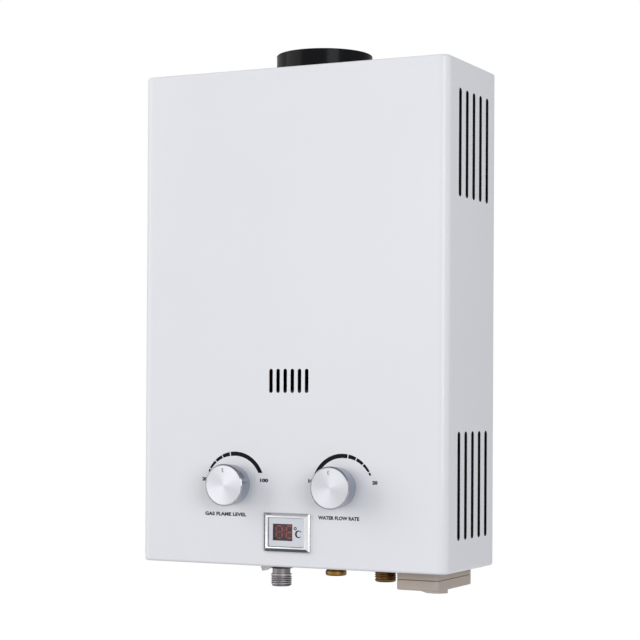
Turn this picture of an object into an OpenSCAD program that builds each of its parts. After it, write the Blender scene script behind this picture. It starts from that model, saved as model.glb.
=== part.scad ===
// Wall-hung tankless gas water heater, drawn as the pieces it comes apart into.
// +Z is up, the front faces -Y and the wall is the plane y = 0. The origin is the middle of
// the back plate's rear face. Values that end in _z are heights above the casing's lower edge.

/* [Casing] */
// Width of the casing across the front
casing_w = 325; // [318:1:360]
// Depth from the wall to the front panel
casing_d = 122; // [120:1:136]
// Height of the casing without the flue collar
casing_h = 480; // [474:1:540]
// Thickness of the cover's painted sheet
cover_t = 1; // [0.8:0.1:1.4]
// Radius of the upright front corners
corner_r = 9; // [6:0.5:14]
// Radius along the top and bottom edges
edge_r = 2.5; // [2:0.5:4]
// Width of the cover's folded returns at the top and bottom
return_w = 14; // [12:0.5:16]
// Thickness of the back, top and bottom plates
plate_t = 1.2; // [1:0.1:1.5]
// Height of the plates' folded flanges
flange_h = 12; // [10:0.5:14]
// Gap between the cover and the plates inside it
cover_gap = 0.4; // [0.2:0.1:0.8]
// Gap between the cover's rear edge and the wall
rear_gap = 1; // [0.5:0.1:1.2]
// Distance of the wall fixing holes from the centre line
fix_x = 80; // [76:1:84]
// Distance of the wall fixing holes from the casing's ends
fix_z = 22; // [20:1:24]
// Radius of the wall fixing holes
fix_r = 4.5; // [3:0.25:5]
// Radius of the case screws' shanks
screw_r = 2; // [1.5:0.25:2.5]
// Radius of the case screws' heads
screw_head_r = 4; // [3:0.25:4.5]

/* [Vents] */
// Number of sight slots in the front
sight_count = 6; // [4:1:8]
// Width of a sight slot
sight_w = 3.9; // [2:0.1:5]
// Length of a sight slot
sight_l = 23.1; // [16:0.1:30]
// Pitch of the sight slots
sight_pitch = 7.64; // [6:0.02:9]
// Height of the sight slots' middle above the burner
sight_rise = 9.5; // [4:0.5:14]
// Number of vent slots in each side group
vent_count = 5; // [3:1:5]
// Width of a side vent slot
vent_w = 6.9; // [3:0.1:8]
// Length of a side vent slot
vent_l = 101.8; // [80:0.1:110]
// Pitch of the side vent slots
vent_pitch = 17.4; // [14:0.1:18]
// Distance of the rearmost side slot from the wall
vent_rear = 20.8; // [19:0.1:22]
// Distance of the upper side slots' middle below the casing's top
vent_top = 78.1; // [70:0.1:90]
// Height of the lower side slots' middle
vent_low_z = 80.4; // [70:0.1:90]

/* [Flue] */
// Offset of the flue from the centre line
flue_x = 2; // [-4:0.5:4]
// Distance of the flue's axis from the wall
flue_y = 51; // [50.5:0.1:53]
// Radius of the socket that takes the flue pipe
flue_bore_r = 45.5; // [43:0.25:45.75]
// Wall of the flue collar
flue_wall = 1.8; // [1:0.1:2]
// Height of the flue collar above the casing
flue_rise = 20.5; // [14:0.5:40]
// Depth of the flue collar inside the hood
flue_drop = 6; // [3:0.5:8]
// Radius of the flue collar's flange
flue_flange_r = 54; // [52:0.5:56]

/* [Heat stack] */
// Width of the combustion chamber
chamber_w = 210; // [196:1:214]
// Depth of the combustion chamber
chamber_d = 92; // [88:0.5:92]
// Wall of the chamber, hood and burner frame
chamber_t = 1; // [0.6:0.1:1.2]
// Gap between the chamber and the back plate
back_gap = 8.8; // [6:0.2:9]
// Height of the draft hood
hood_h = 70; // [60:1:76]
// Width of the draft hood's top
hood_top_w = 104; // [103:0.5:108]
// Height of the burner's top above the knobs
burner_rise = 90.6; // [89.6:0.2:100]
// Height of the fins
fin_h = 46; // [38:1:46]
// Thickness of a fin
fin_t = 1; // [0.6:0.1:1.2]
// Number of fins
fin_count = 20; // [12:1:24]
// Outer radius of the water tubes
tube_r = 6; // [5:0.1:6.2]
// Wall of the water tubes
tube_wall = 1; // [0.6:0.1:1.2]
// Pitch of the tubes through the fins
tube_pitch = 16; // [15:0.2:18]
// Radius of the pipe bends at their middle line
bend_r = 8; // [7.5:0.1:8]
// Distance of the risers from the centre line
riser_x = 128; // [127:0.5:136]
// Height of the burner frame
burner_h = 42; // [38:0.5:42]
// Number of burner bars
bar_count = 9; // [6:1:10]
// Width of a burner bar
bar_w = 12; // [9:0.5:14]
// Length of a burner bar
bar_l = 80; // [72:1:82]
// Outer radius of a gas jet
jet_r = 3.2; // [2.5:0.1:3.6]

/* [Controls] */
// Distance of the knobs from the centre line
knob_x = 56.2; // [54:0.2:58]
// Height of the knobs
knob_z = 78.2; // [74:0.2:82]
// Radius of the knobs at the face
knob_r = 20.25; // [17:0.25:22]
// Distance of the knob's face in front of the panel
knob_face = 26; // [20:0.5:28]
// Gap between the knob's skirt and the panel
knob_gap = 8; // [2:0.5:10]
// Taper of the knob's radius from face to skirt
knob_taper = 1.2; // [0:0.1:2]
// Wall of the knob's skirt
knob_wall = 2; // [1.5:0.1:3]
// Bevel around the knob's face
knob_bevel = 0.9; // [0.4:0.1:1.5]
// Radius of the knob's hub
hub_r = 7; // [6:0.25:9]
// Thickness of the spun metal cap
cap_t = 1; // [0.8:0.1:1.5]
// Radius of the finger dimple in the cap
dimple_r = 2.3; // [1.5:0.1:3]
// Depth of the finger dimple
dimple_depth = 0.6; // [0.3:0.1:0.7]
// Distance of the dimple from the knob's axis
dimple_out = 14.5; // [11:0.5:15]
// Radius of the valve spindles
spindle_r = 3; // [2.5:0.1:3.5]
// Depth of the spindles in their valves
spindle_in = 17; // [12:0.5:17]
// Running clearance around turning and sliding rods
run_gap = 0.05; // [0.03:0.01:0.08]

/* [Display] */
// Width of the display bezel
bezel_w = 49; // [46:0.5:56]
// Height of the display bezel
bezel_h = 37; // [34:0.5:42]
// Height of the bezel's middle
bezel_z = 33.6; // [32:0.1:36]
// Distance the bezel stands out from the panel
bezel_rise = 4.5; // [3:0.1:6]
// Width of the bezel's sloping border
bezel_slope = 2.4; // [1:0.1:3]
// Width of the silver insert
insert_w = 38.5; // [34:0.5:40]
// Height of the silver insert
insert_h = 28; // [24:0.5:29]
// Width of the display window
window_w = 21; // [14:0.1:24]
// Height of the display window
window_h = 16; // [10:0.1:18]
// Offset of the window from the bezel's middle
window_x = -4; // [-5:0.1:2]

/* [Fittings] */
// Distance of the pipe fittings from the wall
fit_y = 55; // [52:0.5:58]
// Distance of the gas inlet left of the centre line
gas_x = 40.9; // [39:0.1:43]
// Distance of the cold inlet right of the centre line
cold_x = 19.4; // [17:0.1:22]
// Distance of the hot outlet right of the centre line
hot_x = 72.6; // [71:0.1:75]
// Outside radius of the G1/2 pipe threads
thread_r = 10.4775; // [10.2:0.0025:10.8]
// Pitch of the pipe threads
thread_pitch = 1.814; // [1.4:0.002:2]
// Depth of the pipe threads
thread_depth = 1.162; // [0.8:0.02:1.2]
// Drop of the gas inlet below the casing
gas_drop = 25.2; // [22:0.2:30]
// Drop of the cold inlet below the casing
cold_drop = 12.1; // [11:0.1:18]
// Drop of the hot outlet below the casing
hot_drop = 15.7; // [14:0.1:22]
// Radius of the gas inlet's neck
neck_r = 8.95; // [8.4:0.05:9.2]
// Radius of the dark collar around the gas inlet
seal_r = 12; // [11.5:0.1:13]
// Drop of the dark collar below the casing
seal_drop = 7.5; // [5:0.1:10]
// Radius of the bores through the fittings
fit_bore_r = 6.5; // [5:0.1:7]

/* [Battery box] */
// Width of the battery box
box_w = 44; // [40:0.5:46]
// Length of the battery box from front to back
box_l = 86; // [84:0.5:90]
// Distance of the box's front from the wall
box_front = 103; // [101:0.5:104]
// Height of the box's top
box_top_z = 26; // [24:0.5:28]
// Drop of the seam between box and lid
seam_drop = 7.7; // [6:0.1:10]
// Drop of the lid's underside
lid_drop = 17.6; // [16:0.1:20]
// Wall of the box and lid
box_wall = 2; // [1.5:0.1:2.2]
// Radius of the box's upright corners
box_r = 5.5; // [3:0.25:6]
// Height of the thumb pad under the lid at its front
pad_rise = 1.7; // [1:0.1:2.5]
// Height of the thumb pad at its rear step
pad_step = 3.4; // [2.5:0.1:4]
// Gap at the seam
seam_gap = 0.4; // [0.3:0.1:0.6]
// Radius of the lid's hinge barrel
barrel_r = 2.4; // [2.2:0.1:2.6]
// Radius of the lid's hinge pin
pin_r = 1.2; // [0.8:0.1:1.4]

/* [Switch] */
// Distance of the rocker's pivot left of the centre line
rocker_x = 41; // [39:0.5:46]
// Distance of the rocker's middle from the wall
rocker_y = 80; // [79:0.5:83]
// Length of the rocker
rocker_l = 17; // [14:0.5:18]
// Width of the rocker
rocker_w = 11; // [9:0.5:12]
// Tilt of the rocker each way
rocker_tilt = 20; // [14:1:22]

/* [Hidden] */
$fn = 64;

// Overlap that keeps cuts and unions clean
eps = 0.5;
// Gap that keeps still pieces from sharing a curved face
seat_gap = 0.1;
// Gap between pieces that pass each other
pass_gap = 0.3;

// Casing planes
zb = -casing_h / 2;
zt = casing_h / 2;
front_y = -casing_d;
panel_in = front_y + cover_t;
floor_z0 = zb + cover_t;
floor_z1 = floor_z0 + plate_t;
roof_z1 = zt - cover_t;
roof_z0 = roof_z1 - plate_t;
back_w = casing_w - 2 * (cover_t + cover_gap);
back_h = casing_h - 2 * (cover_t + cover_gap);
plate_margin = max(edge_r, plate_t + 2 * cover_gap);
plate_w = casing_w - 2 * (cover_t + plate_margin);
plate_front = panel_in + plate_margin;
flange_end = 12;
tab_x = 120;
tab_w = 60;
tab_screw_up = 8;
bead_w = 14;
bead_h = 3;
bead_x = 56;
bead_clear = 15;
bead_low = 40;
screw_head_h = 1.6;
screw_l = 8;
cover_screw_x = casing_w / 2 - return_w / 2 - 2;
cover_screw_y = 14;

// Flue and heat stack, stacked down from the top plate
flue_r = flue_bore_r + flue_wall;
flue_flange_t = 1.5;
collar_screw_r = 1.6;
collar_screw_out = (flue_r + flue_flange_r) / 2;
hood_gap = 0.8;
hood_rear = -plate_t - hood_gap;
stack_front = -plate_t - back_gap - chamber_d;
stack_y = stack_front + chamber_d / 2;
hood_z0 = roof_z0 - hood_h;
fin_z1 = hood_z0 - 1;
fin_z0 = fin_z1 - fin_h;
tube_z = (fin_z0 + fin_z1) / 2;
tube_end = chamber_w / 2 + 6;
tube_turn = tube_end + tube_pitch / 2;
fin_span = chamber_w - 2 * chamber_t - 12;
burner_z1 = zb + knob_z + burner_rise;
flame_h = fin_z0 - burner_z1;
burner_z0 = burner_z1 - burner_h;
sight_z = burner_z1 + sight_rise;
rail_h = 2;
bar_h = burner_h - rail_h - 1;
bar_span = chamber_w - 2 * chamber_t - bar_w - 20;
bar_front = stack_y - bar_l / 2;
jet_z = burner_z0 + 14;
manifold_gap = 3;
manifold_d = 12;
manifold_h = 14;
manifold_rear = stack_front - manifold_gap;
manifold_l = bar_span + 30;
electrode_z = burner_z1 + 11;
spark_y = stack_y - 16;
sense_y = stack_y + 14;
ceramic_r = 4;
ceramic_out = 18;
ceramic_in = 6;
spark_reach = 26;
sense_reach = 34;
bracket_w = 30;
bracket_t = 1.5;
bracket_foot = 14;
bracket_x = (chamber_w - bracket_w) / 2;

// Valves
gas_front = -92;
gas_d = 52;
gas_z0 = zb + knob_z - 30;
gas_z1 = zb + knob_z + 26;
gas_left = -knob_x - 28;
gas_right = -gas_x + 17;
feed_y = -66;
feed_z = gas_z1 + 14;
feed_depth = 12;
gas_boss_l = 6;
coil_r = 14;
coil_l = 32;
coil_y = -66;
plunger_r = 4;
plunger_in = 5;
plunger_l = 27;
water_front = -98;
water_d = 24;
water_rear = water_front + water_d;
water_z0 = zb + knob_z - 28;
water_z1 = zb + knob_z + 12;
water_arm = 26;
water_right = hot_x + 13;
outlet_z = water_z0 + 16;
drum_x = cold_x + 20;
drum_y = -80;
drum_r = 24;
drum_bore = 19;
diaphragm_t = 1.5;
drum_h = 12;
drum_top = water_z1 + diaphragm_t + drum_h;
rod_r = 2.5;
rod_disc_r = 16;
micro_x = drum_x + 4;
micro_l = 20;
micro_w = 6.4;
micro_h = 10;
micro_z = drum_top + micro_h;
lever_pivot_x = micro_x + micro_l - 2;
lever_z = micro_z + 2.5;
lever_t = 0.8;
lever_w = 4;
lever_pin_r = 0.8;
hot_pipe_z = zb + 42;
hot_top = zb + 24;
nut_h = 6;
spindle_collar_r = 5;
spindle_collar_l = 2;

// Fittings
thread_flat = 0.5;
fit_hole_r = thread_r + 0.5;
inlet_depth = 26;
gas_shoulder_h = 6;
shoulder_r = thread_r + 2.5;
shoulder_h = 3;

// Display, measured outwards from the panel's face
boss_wall = 2;
boss_depth = 9;
insert_t = 1.6;
insert_front = bezel_rise - 1.2;
insert_ledge = 1;
lens_front = insert_front - 0.4;
lens_t = 1;
board_t = 1.6;

// Battery box
box_side_gap = 0.6;
box_x = casing_w / 2 - return_w - box_side_gap - box_w / 2;
box_y = -box_front + box_l / 2;
box_rear = -box_front + box_l;
seam_z = zb - seam_drop;
lid_z0 = zb - lid_drop;
lid_z1 = seam_z - seam_gap;
pivot_y = box_rear - barrel_r - 0.2;
pivot_z = lid_z1 - barrel_r - 0.1;
ear_x = 12;
ear_w = 4;
box_lip = 4;
spring_turns = 5;
spring_wire = 0.5;
spring_base = 9;
spring_tip = 5.5;
spring_l = 14;
contact_t = 0.6;

// Switch
rocker_z = zb + 1;
rocker_end_r = rocker_l / 2 + 2.2;
rocker_pin_r = 1.5;
switch_l = rocker_l + 10;
switch_w = rocker_w + 6;
switch_h = 20;
switch_wall = 1.4;
switch_lip = 2;

// Igniter module and leads, whose routes are chosen by hand
module_w = 60;
module_d = 38;
module_h = 76;
module_side_gap = 12.5;
module_x = -casing_w / 2 + module_side_gap + module_w / 2;
module_z0 = zb + 34;
lead_r = 1.5;
lead_back_y = -9;
lead_low_z = zb + 22;
lead_high_z = zb + 26;
lead_span = 40;
lead_rise = 14;

// 2-D outlines

module rounded_rect(w, h, r) {
    square([w - 2 * r, h], center = true);
    square([w, h - 2 * r], center = true);
    for (sx = [-1, 1], sy = [-1, 1])
        translate([sx * (w / 2 - r), sy * (h / 2 - r)]) circle(r);
}

// Upright slot with round ends
module slot(w, l) {
    square([w, l - w], center = true);
    for (s = [-1, 1]) translate([0, s * (l - w) / 2]) circle(w / 2);
}

// Plan of the casing drawn in by an inset, from the front corners back to a given y
module casing_plan(inset, back) {
    w = casing_w - 2 * inset;
    r = corner_r - inset;
    y0 = front_y + inset;
    translate([-w / 2, y0 + r]) square([w, back - y0 - r]);
    translate([-w / 2 + r, y0]) square([w - 2 * r, r + eps]);
    for (s = [-1, 1]) translate([s * (w / 2 - r), y0 + r]) circle(r);
}

// Side view of the casing drawn in by an inset, as y and z
module casing_side(inset, back) {
    h = casing_h - 2 * inset;
    r = edge_r - inset;
    y0 = front_y + inset;
    translate([y0 + r, -h / 2]) square([back - y0 - r, h]);
    translate([y0, -h / 2 + r]) square([r + eps, h - 2 * r]);
    for (s = [-1, 1]) translate([y0 + r, s * (h / 2 - r)]) circle(r);
}

// Placing helpers

// Extrudes an x-z outline forwards from y to y - d
module towards_front(y, d) {
    translate([0, y, 0]) rotate([90, 0, 0]) linear_extrude(d) children();
}

// Extrudes a y-z outline across the whole width, or from x to x + l
module across(x, l) {
    translate([x, 0, 0]) rotate([90, 0, 90]) linear_extrude(l) children();
}

// Turns a piece drawn along +Z so that it points to the front, from a point on the panel's face
module on_panel(x, z) {
    translate([x, front_y, zb + z]) rotate([90, 0, 0]) children();
}

// Cylinder along X from x0 to x1
module rod_x(x0, x1, y, z, r) {
    translate([x0, y, z]) rotate([0, 90, 0]) cylinder(h = x1 - x0, r = r);
}

// Cylinder along Y from y0 back to y1
module rod_y(x, y0, y1, z, r) {
    translate([x, y0, z]) rotate([-90, 0, 0]) cylinder(h = y1 - y0, r = r);
}

// Block between two corners
module block(a, b) {
    translate(a) cube(b - a);
}

// Pipes along a route with round bends

function unit(v) = v / norm(v);
function sideways(v) = unit(cross(v, abs(v[2]) < 0.9 * norm(v) ? [0, 0, 1] : [1, 0, 0]));
function placed(p, x, y, z) =
    [[x[0], y[0], z[0], p[0]], [x[1], y[1], z[1], p[1]], [x[2], y[2], z[2], p[2]], [0, 0, 0, 1]];
function turn_angle(p, i) =
    acos(min(1, max(-1, unit(p[i] - p[i - 1]) * unit(p[i + 1] - p[i]))));
function bend_cut(p, i, r) =
    (i == 0 || i == len(p) - 1) ? 0 : r * tan(turn_angle(p, i) / 2);

// Ring section of a pipe
module pipe_section(r, wall) {
    difference() {
        circle(r);
        circle(r - wall);
    }
}

module straight(p, q, r, wall) {
    v = q - p;
    if (norm(v) > 0.01) {
        z = unit(v);
        x = sideways(v);
        multmatrix(placed(p, x, cross(z, x), z)) linear_extrude(norm(v)) pipe_section(r, wall);
    }
}

module bend(p, i, r, wall, bend_radius) {
    a = unit(p[i] - p[i - 1]);
    b = unit(p[i + 1] - p[i]);
    n = unit(b - (a * b) * a);
    c = p[i] - a * bend_cut(p, i, bend_radius) + n * bend_radius;
    multmatrix(placed(c, -n, a, cross(a, n))) rotate_extrude(angle = turn_angle(p, i))
        translate([bend_radius, 0]) pipe_section(r, wall);
}

module pipe(p, r, wall, bend_radius) {
    for (i = [0:len(p) - 2]) {
        d = unit(p[i + 1] - p[i]);
        straight(p[i] + d * bend_cut(p, i, bend_radius),
                 p[i + 1] - d * bend_cut(p, i + 1, bend_radius), r, wall);
    }
    for (i = [1:len(p) - 2]) bend(p, i, r, wall, bend_radius);
}

// Swept tubes for leads and the contact spring

// Point between p1 and p2 on a smooth curve through four points
function smooth_point(p0, p1, p2, p3, t) =
    0.5 * (2 * p1 + (p2 - p0) * t + (2 * p0 - 5 * p1 + 4 * p2 - p3) * t * t
           + (3 * p1 - p0 - 3 * p2 + p3) * t * t * t);
function smooth_route(p, n) =
    [for (i = [0:len(p) - 2], k = [0:n - 1])
        smooth_point(p[max(i - 1, 0)], p[i], p[i + 1], p[min(i + 2, len(p) - 1)], k / n),
     p[len(p) - 1]];
function heading(p, i) = unit(p[min(i + 1, len(p) - 1)] - p[max(i - 1, 0)]);
function normals(p, i = 0, last = undef) =
    i == len(p) ? []
    : let (t = heading(p, i),
           n = i == 0 ? sideways(t) : unit(last - (last * t) * t))
      concat([n], normals(p, i + 1, n));

module swept_tube(p, r, sides) {
    n = normals(p);
    rings = len(p);
    points = [for (i = [0:rings - 1], k = [0:sides - 1])
        let (a = 360 * k / sides)
        p[i] + r * (cos(a) * n[i] + sin(a) * cross(heading(p, i), n[i]))];
    walls = [for (i = [0:rings - 2], k = [0:sides - 1], h = [0, 1])
        let (a = i * sides + k, b = i * sides + (k + 1) % sides)
        h == 0 ? [a, a + sides, b] : [b, a + sides, b + sides]];
    first = [for (k = [1:sides - 2]) [0, k, k + 1]];
    end = (rings - 1) * sides;
    last = [for (k = [1:sides - 2]) [end, end + k + 1, end + k]];
    polyhedron(points, concat(first, walls, last));
}

// Casing

// Cover's form drawn in by an inset, from the front back to a given y
module cover_form(inset, back) {
    intersection() {
        translate([0, 0, -casing_h / 2]) linear_extrude(casing_h) casing_plan(inset, back);
        across(-casing_w / 2 - eps, casing_w + 2 * eps) casing_side(inset, back);
        towards_front(back + eps, casing_d + back + 2 * eps)
            rounded_rect(casing_w - 2 * inset, casing_h - 2 * inset, edge_r - inset);
    }
}

module vent_slots(z) {
    for (i = [0:vent_count - 1])
        translate([-vent_rear - i * vent_pitch, z]) slot(vent_w, vent_l);
}

module cover_screw_places() {
    for (s = [-1, 1]) translate([s * cover_screw_x, -cover_screw_y]) children();
}

module front_cover() {
    open_w = casing_w - 2 * return_w;
    spindle_hole_r = 2 * spindle_r;
    color("whitesmoke") difference() {
        cover_form(0, -rear_gap);
        cover_form(cover_t, eps);
        block([-open_w / 2, front_y + return_w, zb - eps], [open_w / 2, eps, zt + eps]);
        towards_front(panel_in + eps, cover_t + 2 * eps) {
            for (i = [0:sight_count - 1])
                translate([(i - (sight_count - 1) / 2) * sight_pitch, sight_z])
                    slot(sight_w, sight_l);
            for (s = [-1, 1]) translate([s * knob_x, zb + knob_z]) circle(spindle_hole_r);
            translate([0, zb + bezel_z]) display_boss_outline(seat_gap);
        }
        across(-casing_w / 2 - eps, casing_w + 2 * eps) {
            vent_slots(zt - vent_top);
            vent_slots(zb + vent_low_z);
        }
        translate([0, 0, zb - eps]) linear_extrude(casing_h + 2 * eps)
            cover_screw_places() circle(screw_r + seat_gap);
    }
}

module back_plate() {
    flange_l = back_h - 2 * flange_end;
    bead_z0 = zb + bead_low;
    bead_z1 = hood_z0 - bead_clear;
    color("lightsteelblue") difference() {
        union() {
            towards_front(0, plate_t) rounded_rect(back_w, back_h, corner_r);
            for (s = [-1, 1])
                translate([s * (back_w - plate_t) / 2, -flange_h / 2, 0])
                    cube([plate_t, flange_h, flange_l], center = true);
            towards_front(-plate_t + eps, bead_h + eps) bead_outlines(bead_w, bead_z0, bead_z1);
        }
        towards_front(eps, bead_h + eps)
            bead_outlines(bead_w - 2 * plate_t, bead_z0 + plate_t, bead_z1 - plate_t);
        towards_front(eps, plate_t + 2 * eps) {
            for (sx = [-1, 1], sz = [-1, 1])
                translate([sx * fix_x, sz * (casing_h / 2 - fix_z)]) circle(fix_r);
            chassis_screw_places() circle(screw_r + seat_gap);
        }
    }
}

module bead_outlines(w, z0, z1) {
    for (s = [-1, 1]) translate([s * bead_x, (z0 + z1) / 2]) slot(w, z1 - z0);
}

module chassis_screw_places() {
    for (s = [-1, 1]) {
        translate([s * tab_x, floor_z1 + tab_screw_up]) children();
        translate([s * tab_x, roof_z0 - tab_screw_up]) children();
    }
}

// Plan of the top and bottom plates
module plate_plan() {
    r = corner_r;
    rear = -1.5 * plate_t;
    translate([-plate_w / 2, plate_front + r]) square([plate_w, rear - plate_front - r]);
    translate([-plate_w / 2 + r, plate_front]) square([plate_w - 2 * r, r + eps]);
    for (s = [-1, 1]) translate([s * (plate_w / 2 - r), plate_front + r]) circle(r);
}

// Two upright tabs at a plate's rear edge, between two heights
module rear_tabs(z0, z1) {
    difference() {
        for (s = [-1, 1])
            block([s * tab_x - tab_w / 2, -2 * plate_t, z0], [s * tab_x + tab_w / 2, -plate_t, z1]);
        towards_front(0, 3 * plate_t) chassis_screw_places() circle(screw_r + seat_gap);
    }
}

module top_plate() {
    color("gainsboro") union() {
        difference() {
            translate([0, 0, roof_z0]) linear_extrude(plate_t) difference() {
                plate_plan();
                translate([flue_x, -flue_y]) circle(flue_r + pass_gap);
                cover_screw_places() circle(screw_r + seat_gap);
                translate([flue_x, -flue_y]) collar_screw_places()
                    circle(collar_screw_r + seat_gap);
            }
        }
        rear_tabs(roof_z0 - flange_h, roof_z0 + plate_t / 2);
    }
}

module bottom_plate() {
    grille_slots = 9;
    grille_pitch = 9;
    grille_l = 40;
    grille_w = 4;
    color("gainsboro") union() {
        translate([0, 0, floor_z0]) linear_extrude(plate_t) difference() {
            plate_plan();
            cover_screw_places() circle(screw_r + seat_gap);
            for (x = [-gas_x, cold_x, hot_x]) translate([x, -fit_y]) circle(fit_hole_r);
            translate([-rocker_x, -rocker_y])
                square([switch_l - 4 + 2 * seat_gap, switch_w - 3 + 2 * seat_gap], center = true);
            translate([box_x, box_y])
                rounded_rect(box_w + 2 * seat_gap, box_l + 2 * seat_gap, box_r);
            for (i = [0:grille_slots - 1])
                translate([module_x, -casing_d / 2 + (i - (grille_slots - 1) / 2) * grille_pitch])
                    rotate(90) slot(grille_w, grille_l);
        }
        rear_tabs(floor_z1 - plate_t / 2, floor_z1 + flange_h);
    }
}

// Pan-head screw along +Z, its head below z = 0
module pan_screw(r, head_r, head_h, l) {
    slot_w = 0.35 * r;
    difference() {
        union() {
            translate([0, 0, -head_h]) cylinder(h = head_h, r = head_r);
            translate([0, 0, -eps]) cylinder(h = l + eps, r = r);
        }
        for (a = [0, 90])
            rotate(a) translate([0, 0, -head_h])
                cube([1.2 * head_r, 2 * slot_w, head_h], center = true);
    }
}

module cover_screws() {
    color("silver") for (m = [0, 1])
        mirror([0, 0, m]) translate([0, 0, zb]) cover_screw_places()
            pan_screw(screw_r, screw_head_r, screw_head_h, screw_l);
}

module chassis_screws() {
    color("silver") for (s = [-1, 1], z = [floor_z1 + tab_screw_up, roof_z0 - tab_screw_up])
        translate([s * tab_x, -2 * plate_t, z]) rotate([-90, 0, 0])
            pan_screw(screw_r, screw_head_r, screw_head_h, 2 * plate_t - 0.2);
}

// Flue and heat stack

module collar_screw_places() {
    for (a = [45:90:315]) rotate(a) translate([collar_screw_out, 0]) children();
}

module flue_collar() {
    z0 = roof_z0 - flue_drop;
    rim = 0.6;
    color([0.06, 0.06, 0.07]) difference() {
        translate([flue_x, -flue_y, 0]) union() {
            rotate_extrude() polygon([
                [flue_bore_r, z0], [flue_r, z0], [flue_r, zt + flue_rise - rim],
                [flue_r - rim, zt + flue_rise], [flue_bore_r, zt + flue_rise]
            ]);
            translate([0, 0, roof_z1]) linear_extrude(flue_flange_t) difference() {
                circle(flue_flange_r);
                circle(flue_bore_r + flue_wall / 2);
                collar_screw_places() circle(collar_screw_r + seat_gap);
            }
        }
        block([-casing_w / 2, -rear_gap - plate_t, roof_z1 - eps],
              [casing_w / 2, flue_r, roof_z1 + flue_flange_t + eps]);
    }
}

module collar_screws() {
    head_r = 3;
    head_h = 1.8;
    color("dimgray") translate([flue_x, -flue_y, roof_z1 + flue_flange_t]) collar_screw_places()
        mirror([0, 0, 1]) pan_screw(collar_screw_r, head_r, head_h, flue_flange_t + 2 * plate_t);
}

// Front view of the hood drawn in by an inset
module hood_outline(inset, reach) {
    slope = (chamber_w - hood_top_w) / 2 / hood_h;
    low = chamber_w / 2 - inset;
    high = hood_top_w / 2 - inset;
    polygon([
        [-low - reach * slope, hood_z0 - reach], [low + reach * slope, hood_z0 - reach],
        [high - reach * slope, roof_z0 + reach], [-high + reach * slope, roof_z0 + reach]
    ]);
}

module draft_hood() {
    color("silver") difference() {
        towards_front(hood_rear, hood_rear - stack_front) hood_outline(0, 0);
        towards_front(hood_rear - chamber_t, hood_rear - stack_front - 2 * chamber_t)
            hood_outline(1.3 * chamber_t, eps);
    }
}

// Places of the four tube passes through the fins, as y
tube_ys = [for (i = [0:3]) stack_y + (i - 1.5) * tube_pitch];

// The cold water leaves its valve straight below the first pass
outlet_y = tube_ys[0];

module tube_passes(r, l) {
    for (y = tube_ys) rod_x(-l / 2, l / 2, y, tube_z, r);
}

module heat_exchanger_fins() {
    fin_d = chamber_d - 2 * chamber_t - 1;
    color("peru") difference() {
        for (i = [0:fin_count - 1])
            translate([fin_span * (i / (fin_count - 1) - 0.5), stack_y, tube_z])
                cube([fin_t, fin_d, fin_h], center = true);
        tube_passes(tube_r + seat_gap, chamber_w);
    }
}

module exchanger_tubes() {
    y = tube_ys;
    route = [
        [tube_end, y[0], tube_z], [-tube_turn, y[0], tube_z], [-tube_turn, y[1], tube_z],
        [tube_turn, y[1], tube_z], [tube_turn, y[2], tube_z], [-tube_turn, y[2], tube_z],
        [-tube_turn, y[3], tube_z], [tube_end, y[3], tube_z]
    ];
    color("peru") pipe(route, tube_r, tube_wall, tube_pitch / 2);
}

// Four upright walls with the chamber's outline
module stack_walls(z0, z1) {
    translate([0, stack_y, z0]) linear_extrude(z1 - z0) difference() {
        square([chamber_w, chamber_d], center = true);
        square([chamber_w - 2 * chamber_t, chamber_d - 2 * chamber_t], center = true);
    }
}

module combustion_chamber() {
    window_h = sight_l + 6;
    window_w = sight_count * sight_pitch + 6;
    color("peru") difference() {
        stack_walls(burner_z1, hood_z0);
        tube_passes(tube_r + seat_gap, 2 * chamber_w);
        for (y = [spark_y, sense_y])
            rod_x(-chamber_w, 0, y, electrode_z, ceramic_r + seat_gap);
        translate([0, stack_front, max(sight_z, burner_z1 + window_h / 2 + 1)])
            cube([window_w, 4 * chamber_t, window_h], center = true);
    }
}

// Z-shaped bracket from the back plate to the stack, standing on a height
module z_bracket(x, z) {
    y1 = -plate_t - back_gap;
    x0 = x - bracket_w / 2;
    x1 = x + bracket_w / 2;
    block([x0, -plate_t - bracket_t, z], [x1, -plate_t, z + bracket_foot]);
    block([x0, y1, z], [x1, -plate_t, z + bracket_t]);
    block([x0, y1, z - bracket_foot], [x1, y1 + bracket_t, z + bracket_t]);
}

module chamber_brackets() {
    heights = [burner_z0 + burner_h / 2, burner_z1 + flame_h / 2];
    color("silver") for (x = [-bracket_x, bracket_x], z = heights) z_bracket(x, z);
}

function bar_x(i) = bar_span * (i / (bar_count - 1) - 0.5);

module burner_bars() {
    ports = 12;
    port_w = 1.5;
    port_depth = 6;
    inlet_r = min(5, bar_w / 2 - 1);
    z0 = burner_z0 + rail_h;
    color("lightslategray") for (i = [0:bar_count - 1]) difference() {
        translate([bar_x(i) - bar_w / 2, bar_front, z0]) cube([bar_w, bar_l, bar_h]);
        for (k = [0:ports - 1])
            translate([bar_x(i), bar_front + bar_l * (k + 0.5) / ports, z0 + bar_h])
                cube([bar_w - 3, port_w, 2 * port_depth], center = true);
        rod_y(bar_x(i), bar_front - eps, bar_front + bar_l - 6, jet_z, inlet_r);
    }
}

module burner_frame() {
    rail_w = 10;
    rail_x = chamber_w / 2 - chamber_t / 2;
    color("lightslategray") difference() {
        union() {
            stack_walls(burner_z0, burner_z1);
            for (s = [-1, 1])
                translate([-rail_x, stack_y + s * bar_l / 3 - rail_w / 2, burner_z0])
                    cube([2 * rail_x, rail_w, rail_h]);
        }
        for (i = [0:bar_count - 1])
            rod_y(bar_x(i), stack_front - eps, stack_front + chamber_t + eps, jet_z, jet_r + 1);
    }
}

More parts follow.
